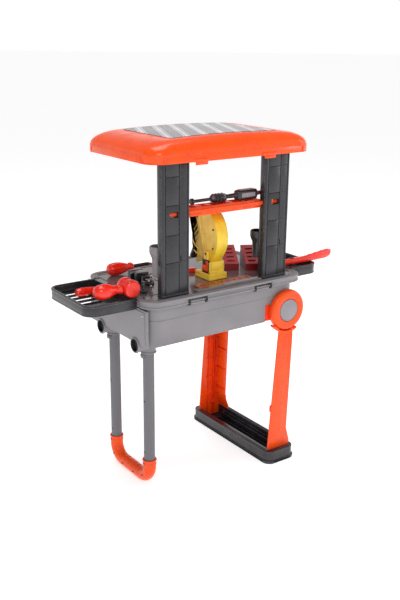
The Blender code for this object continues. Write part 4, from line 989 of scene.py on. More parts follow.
class BENCH_OT_legs(bpy.types.Operator):
    """Leg frame: two ribbed angle arms, and the foot bar that joins them"""

    bl_idname = "bench.legs"
    bl_label = "Leg frame"

    def execute(self, context):
        for side, sign in SIDES:
            self.arm(side, sign)
        self.foot()
        return {"FINISHED"}

    def arm(self, side, sign):
        low, high, _ = span(f"leg_arm_{side}")
        wheel = span(f"wheel_{side}")[2]
        rib = sizes().rib
        edge = sizes().edge
        outer = high.y if sign > 0 else low.y
        wall = 0.0035
        reach = 0.0455
        top_left = wheel.x - 0.0254
        rights = ((high.x - 0.0118, wheel.z - 0.0400), (high.x - 0.0192, 0.0690), (high.x - 0.0165, 0.0520),
                  (high.x - 0.0095, 0.0340), (high.x - 0.0095, low.z))
        right = rights[0][0]
        foot_left = low.x - 0.0058
        first = math.asin((right - wheel.x) / reach)
        last = math.asin((top_left - wheel.x) / reach)
        cup = [
            (wheel.x + reach * math.sin(first + (last - first) * i / 12),
             wheel.z - reach * math.cos(first + (last - first) * i / 12))
            for i in range(13)
        ]
        outline = list(reversed(rights[1:])) + cup + [(foot_left, 0.0290), (foot_left, low.z)]
        walls = sorted((outer, outer - sign * wall))
        skin = plate(outline, "Y", walls[0], walls[1], edge)
        web = sorted((outer - sign * 0.0006, sign * 0.0915))
        strip = [(x, z) for x, z in rights] + [(x - wall, z) for x, z in reversed(rights)]
        rear = plate(strip, "Y", web[0], web[1], edge)
        band_ends = sorted((outer - sign * 0.0002, sign * 0.1165))
        band = turned(
            [(reach, -band_ends[0]), (reach + 0.0045, -band_ends[0]), (reach + 0.0045, -band_ends[1]),
             (reach, -band_ends[1])],
            (0, 0, 0), (0, 0, 1), steps=22, sweep=82.0, start=218.0)
        moved(band, Matrix.Translation((wheel.x, 0, wheel.z)) @ Matrix.Rotation(math.radians(90), 4, "X"))
        round_edges(band, sharp_edges(band, 40), 0.0008)
        lug = sorted((sign * 0.0998, sign * 0.0843))
        inner_low = wheel.z - 0.058
        knee = block((right - 0.0110, lug[0], inner_low), (right - 0.0004, lug[1], wheel.z), 0.0012)
        eye = turned([(0.0044, 0), (0.0140, 0), (0.0153, 0.0013), (0.0153, 0.0142), (0.0140, 0.0155),
                      (0.0044, 0.0155), (0.0044, 0)],
                     (wheel.x, lug[0], wheel.z), (0, 1, 0), steps=48)
        shapes = [skin, rear, band, knee, eye]
        # Outer face: one long crease and a thin border along the back edge.
        proud = sorted((outer - sign * 0.0010, outer + sign * 0.0003))
        for back, half in ((0.0150, rib / 2), (0.0021, 0.0017)):
            line = [(rights[0][0] - back - half, wheel.z - 0.056), (rights[1][0] - back - half, 0.0690),
                    (rights[3][0] - back - half, 0.0360),
                    (rights[3][0] - back + half, 0.0360), (rights[1][0] - back + half, 0.0690),
                    (rights[0][0] - back + half, wheel.z - 0.056)]
            shapes.append(plate(line, "Y", proud[0], proud[1], 0.0005))
        piece(f"arm_shell_{side}", shapes, "orange", "leg_frame", f"leg_arm_{side}")
        self.ribs(side, sign, outer - sign * wall, right, wheel, rib)
        if sign < 0:
            self.catch(side, sign, outer, low.x + 0.0030)

    def ribs(self, side, sign, face, right, wheel, rib):
        """Upright and cross ribs on the inner faces, with a screw boss near the foot."""
        deep = sorted((face + sign * 0.0005, face - sign * 0.0040))
        shapes = []
        for x in (right - 0.0118, right - 0.0170, right - 0.0310):
            slant = [(x - rib / 2, wheel.z - 0.060), (x - 0.0072 - rib / 2, 0.008),
                     (x - 0.0072 + rib / 2, 0.008), (x + rib / 2, wheel.z - 0.060)]
            shapes.append(plate(slant, "Y", deep[0], deep[1], 0.0005))
        shallow = sorted((face + sign * 0.0005, face - sign * 0.0022))
        for z in (0.060, 0.108, 0.156, 0.204, 0.252):
            shift = 0.0075 * (wheel.z - 0.040 - z) / 0.235
            shapes.append(block((right - 0.0360 - shift, shallow[0], z - rib / 2),
                                (right - 0.003 - shift, shallow[1], z + rib / 2), 0.0005))
        boss = (right - 0.0230, face, 0.042)
        shapes.append(turned([(0, 0.0046), (0.0020, 0.0046), (0.0024, 0.0062), (0.0046, 0.0060),
                              (0.0054, 0.0048), (0.0058, -0.0005)][::-1],
                             boss, (0, -sign, 0), steps=28))
        wide = sorted((sign * 0.0930, face - sign * 0.002))
        for z in (0.080, 0.130, 0.180, 0.230):
            web_face = right - 0.0033 - 0.0075 * (wheel.z - 0.040 - z) / 0.235
            shapes.append(block((web_face - 0.0030, wide[0], z - rib / 2),
                                (web_face + 0.0005, wide[1], z + rib / 2), 0.0005))
        # The inner ribs take the orange with painted shade.
        piece(f"arm_ribs_{side}", shapes, "orange_painted_shade", "leg_frame")

    def catch(self, side, sign, outer, edge_x):
        """Small spring catch at the arm's front edge."""
        ends = sorted((outer - sign * 0.0008, outer - sign * 0.0036))
        z = 0.1180
        # The catch takes the orange with painted shade.
        piece(f"arm_catch_{side}",
              [block((edge_x - 0.0055, ends[0], z), (edge_x + 0.0010, ends[1], z + 0.0150), 0.0009)],
              "orange_painted_shade", "leg_frame")

    def foot(self):
        low, high, _ = span("foot_base")
        rib = sizes().rib
        arm_low, arm_high, _ = span("leg_arm_far")
        body = from_frame("foot_base", 0.0011, 40)
        lip = ring((low.x, low.y, 0.0004), (high.x, high.y, 0.0064), 0.018, 0.0050, 0.0016, segments=10)
        crown = ring((low.x + 0.0024, low.y + 0.0024, high.z - 0.0030),
                     (high.x - 0.0024, high.y - 0.0024, high.z + 0.0008), 0.0165, 0.0030, 0.0010,
                     segments=10)
        piece("foot_bar_shell", [body, lip, crown], "black", "leg_frame", "foot_base")
        rails = [
            ring((arm_high.x - 0.0300, low.y + 0.052, 0.0046),
                 (arm_high.x - 0.0180, high.y - 0.052, 0.0215), 0.0058, rib, 0.0006),
            ring((arm_low.x + 0.0012, low.y + 0.050, 0.0046), (arm_high.x - 0.0330, high.y - 0.050, 0.0105),
                 0.0058, rib, 0.0006),
        ]
        piece("foot_bar_ribs", rails, "black", "leg_frame")


# Posts and crossbar.


class BENCH_OT_posts(bpy.types.Operator):
    """Two posts with panelled fronts, a recessed strip, a window for the crossbar's tongue and a slot"""

    bl_idname = "bench.posts"
    bl_label = "Posts"

    def execute(self, context):
        for side in ("left", "right"):
            self.post(side)
        return {"FINISHED"}

    def post(self, side):
        size = sizes()
        low, high, middle = span(f"post_{side}")
        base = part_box("case_tub")[1].z + 0.0004
        bar_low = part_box("crossbar")[0].z
        near, far = low.y, high.y
        x = middle.x
        window = (x - 0.0140, x + 0.0060, bar_low + 0.0050, bar_low + 0.0165)
        slot = (x + 0.0098, x + 0.0142, base + 0.0655, base + 0.0795)
        core = block((low.x, near + 0.0020, base), (high.x, far, high.z), size.edge)
        pierced(core, "Y", (slot[0], 0, slot[2]), (slot[1], 0, slot[3]))
        pierced(core, "Y", (window[0], 0, window[2]), (window[1], 0, window[3]))
        shapes = [core]
        proud = size.post_panel
        gap = size.post_groove
        height = high.z - base
        strips = ((low.x, low.x + 0.0072, 0.0), (x + 0.0082, x + 0.0106, 0.0002))
        for left, right, rise in strips:
            shapes.append(block((left, near - rise, base), (right, near + 0.0030, high.z), size.edge))
        shapes.append(block((high.x - 0.0024, near + 0.0006, base), (high.x, near + 0.0030, high.z),
                            0.0006))
        levels = [base] + [high.z - height * f for f in (0.76, 0.57, 0.37, 0.18)] + [high.z]
        left, right = low.x + 0.0072 + gap, x + 0.0082 - gap
        for start, end in zip(levels, levels[1:]):
            panel = block((left, near - 0.0002, start + gap / 2),
                          (right, near - 0.0002 + proud + 0.0008, end - gap / 2), 0.0008)
            if start < window[2] < end:
                inner = max(window[0], left + 0.001)
                pierced(panel, "Y", (inner, 0, window[2]), (window[1], 0, window[3]))
            shapes.append(panel)
        # Cross bars in the recessed third and round the foot.
        for level in levels[1:-1]:
            shapes.append(block((x + 0.0108, near + 0.0012, level - 0.0006),
                                (high.x - 0.0024, near + 0.0026, level + 0.0006), 0.0004))
        shapes.append(block((low.x - 0.0006, near - 0.0006, base),
                            (high.x + 0.0006, far + 0.0006, base + 0.0050), 0.0010))
        self.flank(shapes, low, high, near, far, side, base)
        piece(f"post_shell_{side}", shapes, "charcoal", "post_frame", f"post_{side}")

    def flank(self, shapes, low, high, near, far, side, base):
        """Thin panels on the two narrow sides, stepped at a different height on each post."""
        step = base + (0.0640 if side == "left" else 0.1890)
        for face, sign in ((low.x, -1), (high.x, 1)):
            ends = sorted((face - sign * 0.0010, face + sign * 0.0006))
            shapes.append(block((ends[0], near + 0.0042, step), (ends[1], far - 0.0020, high.z - 0.001),
                                0.0005))
            shapes.append(block((ends[0], near + 0.0020, base + 0.006),
                                (ends[1], far - 0.0020, step - 0.0014), 0.0005))
        for level in (base + 0.060, base + 0.130, base + 0.200):
            shapes.append(block((low.x + 0.006, far - 0.0006, level),
                                (high.x - 0.006, far + 0.0006, level + 0.0012), 0.0004))


class BENCH_OT_crossbar(bpy.types.Operator):
    """Crossbar with its rails, cradles and tongues, and the toy driver that lies on it"""

    bl_idname = "bench.crossbar"
    bl_label = "Crossbar and rack tool"

    def execute(self, context):
        size = sizes()
        low, high, _ = span("crossbar")
        x_mid = span("case_tub")[2].x
        half = 0.0922
        near, far = high.y - 0.0315, high.y
        left, right = x_mid - half, x_mid + half
        shapes = [
            block((left, near, low.z), (right, far, high.z - 0.0038), size.edge),
            block((left, near, low.z + 0.004), (right, near + 0.0048, high.z), 0.0013),
            block((left, far - 0.0048, low.z + 0.004), (right, far, high.z), 0.0013),
            block((left, near, low.z + 0.004), (left + 0.0058, far, high.z), 0.0013),
            block((right - 0.0058, near, low.z + 0.004), (right, far, high.z), 0.0013),
            block((low.x, near - 0.0052, low.z + 0.0065), (high.x, near + 0.0048, low.z + 0.0135), 0.0009),
        ]
        for start, end in ((-0.060, -0.050), (-0.034, -0.024), (0.016, 0.026), (0.046, 0.058),
                           (0.072, 0.084)):
            shapes.append(block((x_mid + start, near + 0.0040, low.z + 0.010),
                                (x_mid + end, far - 0.0040, high.z - 0.0002), 0.0012))
        shapes.append(block((left + 0.006, near - 0.0005, low.z + 0.0040),
                            (right - 0.006, near + 0.0010, low.z + 0.0052), 0.0004))
        shapes.append(block((left + 0.006, near - 0.0005, high.z - 0.0052),
                            (right - 0.006, near + 0.0010, high.z - 0.0040), 0.0004))
        piece("crossbar_shell", shapes, "orange", "post_frame", "crossbar")
        self.rack_tool(x_mid)
        return {"FINISHED"}

    def rack_tool(self, x_mid):
        low, _, middle = span("rack_driver")
        y = middle.y
        z = low.z
        axis = z + 0.0098
        dark = [
            rod((x_mid - 0.0660, y, z + 0.0090), (x_mid - 0.0180, y, z + 0.0095), 0.0032, sides=24),
            turned([(0, 0), (0.0046, 0.0002), (0.0062, 0.0018), (0.0062, 0.0060), (0.0048, 0.0076),
                    (0.0034, 0.0080), (0, 0.0080)],
                   (x_mid - 0.0720, y, z + 0.0090), (1, 0, 0), steps=28),
            rod((x_mid + 0.0100, y, z + 0.0105), (x_mid + 0.0430, y, z + 0.0108), 0.0040, tip=0.0050,
                sides=24),
            rod((x_mid - 0.0235, y, axis), (x_mid - 0.0180, y, axis), 0.0056, tip=0.0090, sides=6),
            rod((x_mid - 0.0180, y, axis), (x_mid + 0.0090, y, axis), 0.0098, sides=6, rounding=0.0010),
            rod((x_mid + 0.0090, y, axis), (x_mid + 0.0135, y, axis), 0.0090, tip=0.0062, sides=6),
            block((x_mid + 0.0380, y - 0.0086, z + 0.0002), (x_mid + 0.0900, y + 0.0086, z + 0.0206),
                  0.0052, 4),
        ]
        for offset in (-0.0115, -0.0040, 0.0035):
            dark.append(turned([(0.0070, -0.0007), (0.0101, -0.0005), (0.0101, 0.0005), (0.0070, 0.0007),
                                (0.0070, -0.0007)],
                               (x_mid + offset, y, axis), (1, 0, 0), steps=6))
        piece("rack_driver_body", dark, "black", "rack_tool", "rack_driver")
        inlay = [block((x_mid + 0.0480, y - 0.0092, z + 0.0060), (x_mid + 0.0820, y - 0.0080, z + 0.0150),
                       0.0006)]
        for i in range(6):
            x = x_mid + 0.0505 + 0.0056 * i
            inlay.append(block((x, y - 0.0097, z + 0.0068), (x + 0.0026, y - 0.0085, z + 0.0142), 0.0004))
        inlay.append(block((x_mid + 0.0460, y - 0.0052, z + 0.0200),
                           (x_mid + 0.0830, y + 0.0052, z + 0.0212), 0.0005))
        piece("rack_driver_inlay", inlay, "hub", "rack_tool")
        tip = [turned([(0, 0), (0.0058, 0), (0.0058, 0.0030), (0.0042, 0.0050), (0.0042, 0.0120),
                       (0.0030, 0.0140), (0, 0.0140)],
                      (x_mid + 0.0890, y, z + 0.0104), (1, 0, 0), steps=28)]
        piece("rack_driver_tip", tip, "board", "rack_tool")


# Roof.


class BENCH_OT_roof(bpy.types.Operator):
    """Roof: the domed lid with its band and side panels, post sockets, printed film and two latches"""

    bl_idname = "bench.roof"
    bl_label = "Roof"

    def execute(self, context):
        low, high, middle = span("roof_lid")
        size = sizes()
        band = 0.0150
        corner = CORNER_RADIUS
        sag = 0.0075
        shape = slab(low, (high.x, high.y, low.z + band), corner, 0.0, segments=12)
        half = Vector(((high.x - low.x) / 2, (high.y - low.y) / 2))
        shoulder = 0.0009
        top = [f for f in shape.faces if f.normal.z > 0.9]
        drawn_in = ((half.x - shoulder) / half.x, (half.y - shoulder) / half.y)
        top = self.lift(shape, top, middle, drawn_in, 0.0006)
        steps = 12
        rise = high.z - low.z - band - 0.0006
        inset_x, inset_y = 0.046, 0.032
        before = (shoulder, shoulder, 0.0)
        for i in range(1, steps + 1):
            angle = math.pi / 2 * i / steps
            share = 1 - math.cos(angle)
            after = (
                shoulder + (inset_x - shoulder) * share,
                shoulder + (inset_y - shoulder) * share,
                rise * math.sin(angle),
            )
            ratio = ((half.x - after[0]) / (half.x - before[0]), (half.y - after[1]) / (half.y - before[1]))
            top = self.lift(shape, top, middle, ratio, after[2] - before[2])
            before = after
        for i in range(1, 20):
            x = low.x + (high.x - low.x) * i / 20
            everything = shape.verts[:] + shape.edges[:] + shape.faces[:]
            bmesh.ops.bisect_plane(shape, geom=everything, dist=1e-6, plane_co=(x, 0, 0),
                                   plane_no=(1, 0, 0))
        start = low.z + band
        for vert in shape.verts:
            share = max(0.0, (vert.co.z - start) / (high.z - start))
            vert.co.z -= share * sag * ((vert.co.x - middle.x) / half.x) ** 2
        under = [f for f in shape.faces if f.normal.z < -0.9]
        bmesh.ops.delete(shape, geom=under, context="FACES")
        bmesh.ops.recalc_face_normals(shape, faces=shape.faces[:])
        outward = [f for f in shape.faces if f.calc_center_median().z > high.z - 0.010]
        if outward and sum(f.normal.z for f in outward) < 0:
            bmesh.ops.reverse_faces(shape, faces=shape.faces[:])
        self.shell(shape, size)
        self.panels(low, high, size, band)
        self.sockets(high)
        self.latches()
        paint("roof_label", "print")
        return {"FINISHED"}

    @staticmethod
    def lift(shape, faces, middle, ratio, rise):
        grown = bmesh.ops.extrude_face_region(shape, geom=faces)["geom"]
        points = [g for g in grown if isinstance(g, bmesh.types.BMVert)]
        centre = Matrix.Translation((middle.x, middle.y, 0))
        scale = centre @ Matrix.Diagonal((ratio[0], ratio[1], 1, 1)) @ centre.inverted()
        bmesh.ops.transform(shape, matrix=Matrix.Translation((0, 0, rise)) @ scale, verts=points)
        bmesh.ops.delete(shape, geom=[f for f in faces if f.is_valid], context="FACES_ONLY")
        return [g for g in grown if isinstance(g, bmesh.types.BMFace)]

    def shell(self, shape, size):
        mesh = bpy.data.meshes.new("roof_shell")
        shape.to_mesh(mesh)
        shape.free()
        mesh.materials.append(finish("orange"))
        mesh.shade_smooth()
        mesh.set_sharp_from_angle(angle=math.radians(38))
        made = bpy.data.objects.new("roof_shell", mesh)
        bpy.context.scene.collection.objects.link(made)
        wall = made.modifiers.new("wall", "SOLIDIFY")
        wall.thickness = size.lid_wall
        wall.offset = -1.0
        wall.use_even_offset = True
        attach(made, "roof")
        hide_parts("roof_lid")

    def panels(self, low, high, size, band):
        """Proud panels on the band's straight sides; the corners between them stay back."""
        proud = size.lid_panel
        bottom, top = low.z + 0.0002, low.z + band - 0.0012
        run_x = (low.x + 0.0330, high.x - 0.0330)
        run_y = (low.y + 0.0350, high.y - 0.0350)
        shapes = []
        for face, sign in ((low.y, -1), (high.y, 1)):
            ends = sorted((face + sign * proud, face - sign * 0.0020))
            shapes.append(block((run_x[0], ends[0], bottom), (run_x[1], ends[1], top), 0.0009))
            for x in (run_x[0] - 0.0062, run_x[1] + 0.0040):
                shapes.append(block((x, ends[0] + 0.0002, bottom), (x + 0.0022, ends[1], top - 0.002),
                                    0.0007))
        for face, sign in ((low.x, -1), (high.x, 1)):
            ends = sorted((face + sign * proud, face - sign * 0.0020))
            shapes.append(block((ends[0], run_y[0], bottom), (ends[1], run_y[1], top), 0.0009))
            for y in (run_y[0] - 0.0042, run_y[1] + 0.0020):
                shapes.append(block((ends[0], y, bottom), (ends[1], y + 0.0022, top - 0.002), 0.0007))
        piece("roof_side_panels", shapes, "orange", "roof")

    def sockets(self, high):
        shapes = []
        for side in ("left", "right"):
            low_post, high_post, _ = span(f"post_{side}")
            shapes.append(ring(
                (low_post.x - 0.0030, low_post.y - 0.0030, high_post.z - 0.0140),
                (high_post.x + 0.0030, high_post.y + 0.0030, high_post.z + 0.0060),
                0.0020, 0.0024, 0.0, segments=2))
        for i in range(-3, 4):
            x = span("roof_lid")[2].x + 0.045 * i
            shapes.append(block((x - 0.0008, -0.090, high.z - 0.0105), (x + 0.0008, 0.085, high.z - 0.0055),
                                0.0004))
        # Sockets and under-lid ribs take the orange with painted shade.
        piece("roof_sockets_and_ribs", shapes, "orange_painted_shade", "roof")

    def latches(self):
        for number, body in ((1, "left_latch"), (2, "right_latch")):
            low, high, middle = span(f"lid_latch_{number}")
            shapes = [
                block((low.x, low.y + 0.0006, middle.z - 0.0004), (high.x, high.y, high.z), 0.0010),
                block((low.x + 0.0045, low.y - 0.0004, low.z),
                      (high.x - 0.0010, high.y - 0.0006, middle.z + 0.0008), 0.0012),
                rod((low.x + 0.001, middle.y - 0.0002, high.z - 0.0016),
                    (high.x - 0.001, middle.y - 0.0002, high.z - 0.0016), 0.0017, sides=20),
                block((low.x + 0.008, low.y - 0.0010, low.z + 0.0012),
                      (high.x - 0.005, low.y + 0.0008, low.z + 0.0032), 0.0007),
            ]
            piece(f"latch_tab_{number}", shapes, "orange", body, f"lid_latch_{number}")


# Trays.


class BENCH_OT_trays(bpy.types.Operator):
    """End trays: slotted floor, wall with a lip and a ridge, and the hook over the case rim"""

    bl_idname = "bench.trays"
    bl_label = "End trays"

    def execute(self, context):
        self.tray("left", -1)
        self.tray("right", 1)
        return {"FINISHED"}

    def tray(self, side, sign):
        low, high, _ = span(f"tray_{side}")
        tub_low, tub_high, _ = span("case_tub")
        inner = tub_low.x - 0.0003 if sign < 0 else tub_high.x + 0.0003
        outer = low.x if sign < 0 else high.x
        xs = sorted((inner, outer))
        top = high.z - 0.0007
        corners = (0.024, 0.002) if sign < 0 else (0.002, 0.024)
        floor = slab((xs[0], low.y, low.z), (xs[1], high.y, low.z + 0.0018), corners[0], 0.0, corners[1])
        count = 4
        pitch = 0.0215
        slots = sorted((outer - sign * 0.0110, outer - sign * 0.0700))
        for i in range(count):
            y = high.y - 0.0170 - pitch * i
            pierced(floor, "Z", (slots[0], y - 0.0072, 0), (slots[1], y + 0.0072, 0))
        wall = ring((xs[0], low.y, low.z + 0.0002), (xs[1], high.y, top), corners[0], 0.0038, 0.0006,
                    corners[1])
        lip = ring((xs[0] - (0.0008 if sign < 0 else 0.0), low.y - 0.0008, top - 0.0036),
                   (xs[1] + (0.0008 if sign > 0 else 0.0), high.y + 0.0008, top + 0.0004),
                   corners[0], 0.0056, 0.0012, corners[1])
        bead = ring((xs[0] - (0.0004 if sign < 0 else 0.0), low.y - 0.0004, low.z - 0.0002),
                    (xs[1] + (0.0004 if sign > 0 else 0.0), high.y + 0.0004, low.z + 0.0034),
                    corners[0], 0.0040, 0.0010, corners[1])
        shapes = [floor, wall, lip, bead]
        hook = sorted((inner - sign * 0.0072, inner + sign * 0.0060))
        shapes.append(block((hook[0], low.y + 0.0120, high.z - 0.0019), (hook[1], high.y - 0.0120, high.z),
                            0.0006))
        for i in range(count + 1):
            y = high.y - 0.0170 - pitch * (i - 0.5)
            shapes.append(block((slots[0] - 0.002, y - 0.0014, low.z + 0.0014),
                                (slots[1] + 0.002, y + 0.0014, low.z + 0.0042), 0.0007))
        piece(f"tray_shell_{side}", shapes, "black", f"{side}_tray", f"tray_{side}")


# Toy saw.


class BENCH_OT_saw(bpy.types.Operator):
    """Toy saw: base and column, round guard with its crescent recess, toothed disc, pin and grip"""

    bl_idname = "bench.saw"
    bl_label = "Toy saw"

    def execute(self, context):
        self.base()
        self.guard()
        self.disc()
        self.grip()
        paint("saw_pin", "board")
        return {"FINISHED"}

    def base(self):
        low, high, _ = span("saw_base")
        guard_low, guard_high, _ = span("saw_guard")
        pin = span("saw_pin")[2]
        flange = from_frame("saw_base", 0.0008, 40)
        skirt = slab((low.x - 0.0010, low.y - 0.0010, low.z),
                     (high.x + 0.0010, high.y + 0.0010, low.z + 0.0052), 0.0040, 0.0014)
        step = slab((low.x + 0.0050, low.y + 0.0030, low.z + 0.0120),
                    (high.x - 0.0050, high.y - 0.0120, low.z + 0.0180), 0.0030, 0.0012)
        column = slab((guard_low.x - 0.0010, pin.y - 0.0150, low.z + 0.0150),
                      (guard_high.x + 0.0040, pin.y + 0.0120, low.z + 0.0375), 0.0030, 0.0018)
        piece("saw_stand", [flange, skirt, step, column], "yellow", "case", "saw_base")
        face = guard_low.x - 0.0060
        # A dark block on the column's face: painted shade for a recess.
        recess = block((face - 0.0004, pin.y - 0.0125, low.z + 0.0125),
                       (face + 0.0020, pin.y + 0.0105, low.z + 0.0420), 0.0008)
        piece("saw_stand_recess_shade", [recess], "dark", "case")
        latch = [
            block((face - 0.0014, pin.y - 0.0095, low.z + 0.0175),
                  (face + 0.0010, pin.y + 0.0080, low.z + 0.0300), 0.0010),
            block((face - 0.0018, pin.y - 0.0100, low.z + 0.0290),
                  (face + 0.0008, pin.y - 0.0030, low.z + 0.0395), 0.0010),
            rod((face - 0.0030, pin.y + 0.0020, low.z + 0.0240), (face, pin.y + 0.0020, low.z + 0.0240),
                0.0034, tip=0.0038, sides=24),
        ]
        piece("saw_stand_latch", latch, "orange", "case")

    def guard(self):
        low, high, _ = span("saw_guard")
        blade = span("saw_blade")[2]
        pin = span("saw_pin")[2]
        centre = Vector((0, pin.y + 0.0285, pin.z + 0.0345))
        radius = 0.061
        shape = bmesh.new()
        bmesh.ops.create_circle(shape, cap_ends=True, segments=96, radius=radius)
        turn = Matrix.Translation((low.x, centre.y, centre.z)) @ Matrix.Rotation(math.radians(90), 4, "Y")
        bmesh.ops.transform(shape, matrix=turn, verts=shape.verts[:])
        chord_y, chord_z = centre.y - 0.0135, centre.z - 0.035
        normal = Vector((0, 1, -0.2877)).normalized()
        everything = shape.verts[:] + shape.edges[:] + shape.faces[:]
        bmesh.ops.bisect_plane(shape, geom=everything, dist=1e-7, plane_co=(0, chord_y, chord_z),
                               plane_no=normal, clear_outer=True)
        face = shape.faces[:]
        grown = bmesh.ops.extrude_face_region(shape, geom=face)["geom"]
        bmesh.ops.translate(shape, vec=(high.x - low.x, 0, 0),
                            verts=[g for g in grown if isinstance(g, bmesh.types.BMVert)])
        bmesh.ops.recalc_face_normals(shape, faces=shape.faces[:])
        cheeks = [f for f in shape.faces if abs(f.normal.x) > 0.9]
        bmesh.ops.inset_region(shape, faces=cheeks, thickness=0.0085, depth=0.0, use_even_offset=True)
        bmesh.ops.inset_region(shape, faces=cheeks, thickness=0.0012, depth=-0.0014, use_even_offset=True)
        round_edges(shape, [e for e in sharp_edges(shape, 50) if e.calc_length() > 0.0005], 0.0011)
        arcs = []
        for side, direction in ((low.x, -1), (high.x, 1)):
            for reach, start, sweep in ((0.0420, 150, 72), (0.0300, 120, 100)):
                rib = turned([(reach, 0.0), (reach + 0.0016, 0.0), (reach + 0.0016, 0.0016),
                              (reach, 0.0016)], (0, 0, 0), steps=22, sweep=sweep, start=start)
                place = Matrix.Translation((side + (0.0013 if direction < 0 else -0.0013), centre.y,
                                            centre.z)) @ Matrix.Rotation(math.radians(90 * direction), 4,
                                                "Y")
                if direction > 0:
                    place = place @ Matrix.Rotation(math.radians(180), 4,
                                                    "Z") @ Matrix.Diagonal((1, -1, 1, 1))
                arcs.append(moved(rib, place))
        foot = plate(
            [(pin.y - 0.0085, pin.z + 0.0050), (pin.y - 0.0075, pin.z - 0.0100),
             (pin.y - 0.004, pin.z - 0.0130), (pin.y + 0.004, pin.z - 0.0130),
             (pin.y + 0.0075, pin.z - 0.0080), (pin.y + 0.0120, pin.z + 0.0050)],
            "X", low.x + 0.0005, high.x - 0.0005, 0.0010)
        dome = [(0.0046, -0.0010), (0.0042, 0.0008), (0.0034, 0.0018), (0, 0.0018)]
        boss = [turned(dome, (cheek, blade.y, blade.z), (direction, 0, 0), steps=32)
                for cheek, direction in ((low.x + 0.0012, -1), (high.x - 0.0012, 1))]
        piece("saw_guard_shell", [shape, foot] + arcs + boss, "yellow", "saw_arm", "saw_guard")
        marks = []
        for angle, reach in ((158, 0.0490), (205, 0.0500)):
            a = math.radians(angle)
            spot = (low.x - 0.0001, centre.y + reach * math.cos(a), centre.z + reach * math.sin(a))
            marks.append(screw_head(spot, (-1, 0, 0), 0.0019))
        piece("saw_guard_screws", marks, "dark", "saw_arm")

    def disc(self):
        """A toy disc with blunt teeth, on its spindle."""
        low, high, middle = span("saw_blade")
        radius = (high.z - low.z) / 2
        teeth = 30
        shape = bmesh.new()
        bmesh.ops.create_circle(shape, cap_ends=True, segments=teeth * 2, radius=radius)
        shape.verts.ensure_lookup_table()
        for i, vert in enumerate(shape.verts):
            if i % 2:
                vert.co *= 0.93
        bmesh.ops.translate(shape, vec=(0, 0, -0.0018), verts=shape.verts[:])
        grown = bmesh.ops.extrude_face_region(shape, geom=shape.faces[:])["geom"]
        bmesh.ops.translate(shape, vec=(0, 0, 0.0036),
                            verts=[g for g in grown if isinstance(g, bmesh.types.BMVert)])
        moved(shape, Matrix.Translation(middle) @ towards((1, 0, 0)))
        spindle = rod((low.x, middle.y, middle.z), (high.x, middle.y, middle.z), 0.0030, sides=28)
        plates = [turned([(0.0030, -0.0030), (0.0090, -0.0030), (0.0100, -0.0020), (0.0100, 0.0020),
                          (0.0090, 0.0030), (0.0030, 0.0030), (0.0030, -0.0030)],
                         middle, (1, 0, 0), steps=32)]
        piece("saw_disc_toothed", [shape, spindle] + plates, "chrome", "saw_disc", "saw_blade")

    def grip(self):
        low, high, middle = span("saw_handle")
        shapes = [from_frame("saw_handle", 0.0022, 20)]
        for i in range(3):
            z = high.z - 0.006 - 0.0075 * i
            shapes.append(block((low.x + 0.0015, high.y - 0.0245 + 0.002 * i, z),
                                (high.x - 0.0015, high.y - 0.0150 + 0.002 * i, z + 0.0040), 0.0012))
        for x, sign in ((low.x, -1), (high.x, 1)):
            ends = sorted((x + sign * 0.0007, x - sign * 0.0010))
            shapes.append(block((ends[0], middle.y + 0.0010, low.z + 0.030),
                                (ends[1], middle.y + 0.0080, low.z + 0.0760), 0.0006))
        piece("saw_grip", shapes, "black", "saw_arm", "saw_handle")


# Deck fittings.


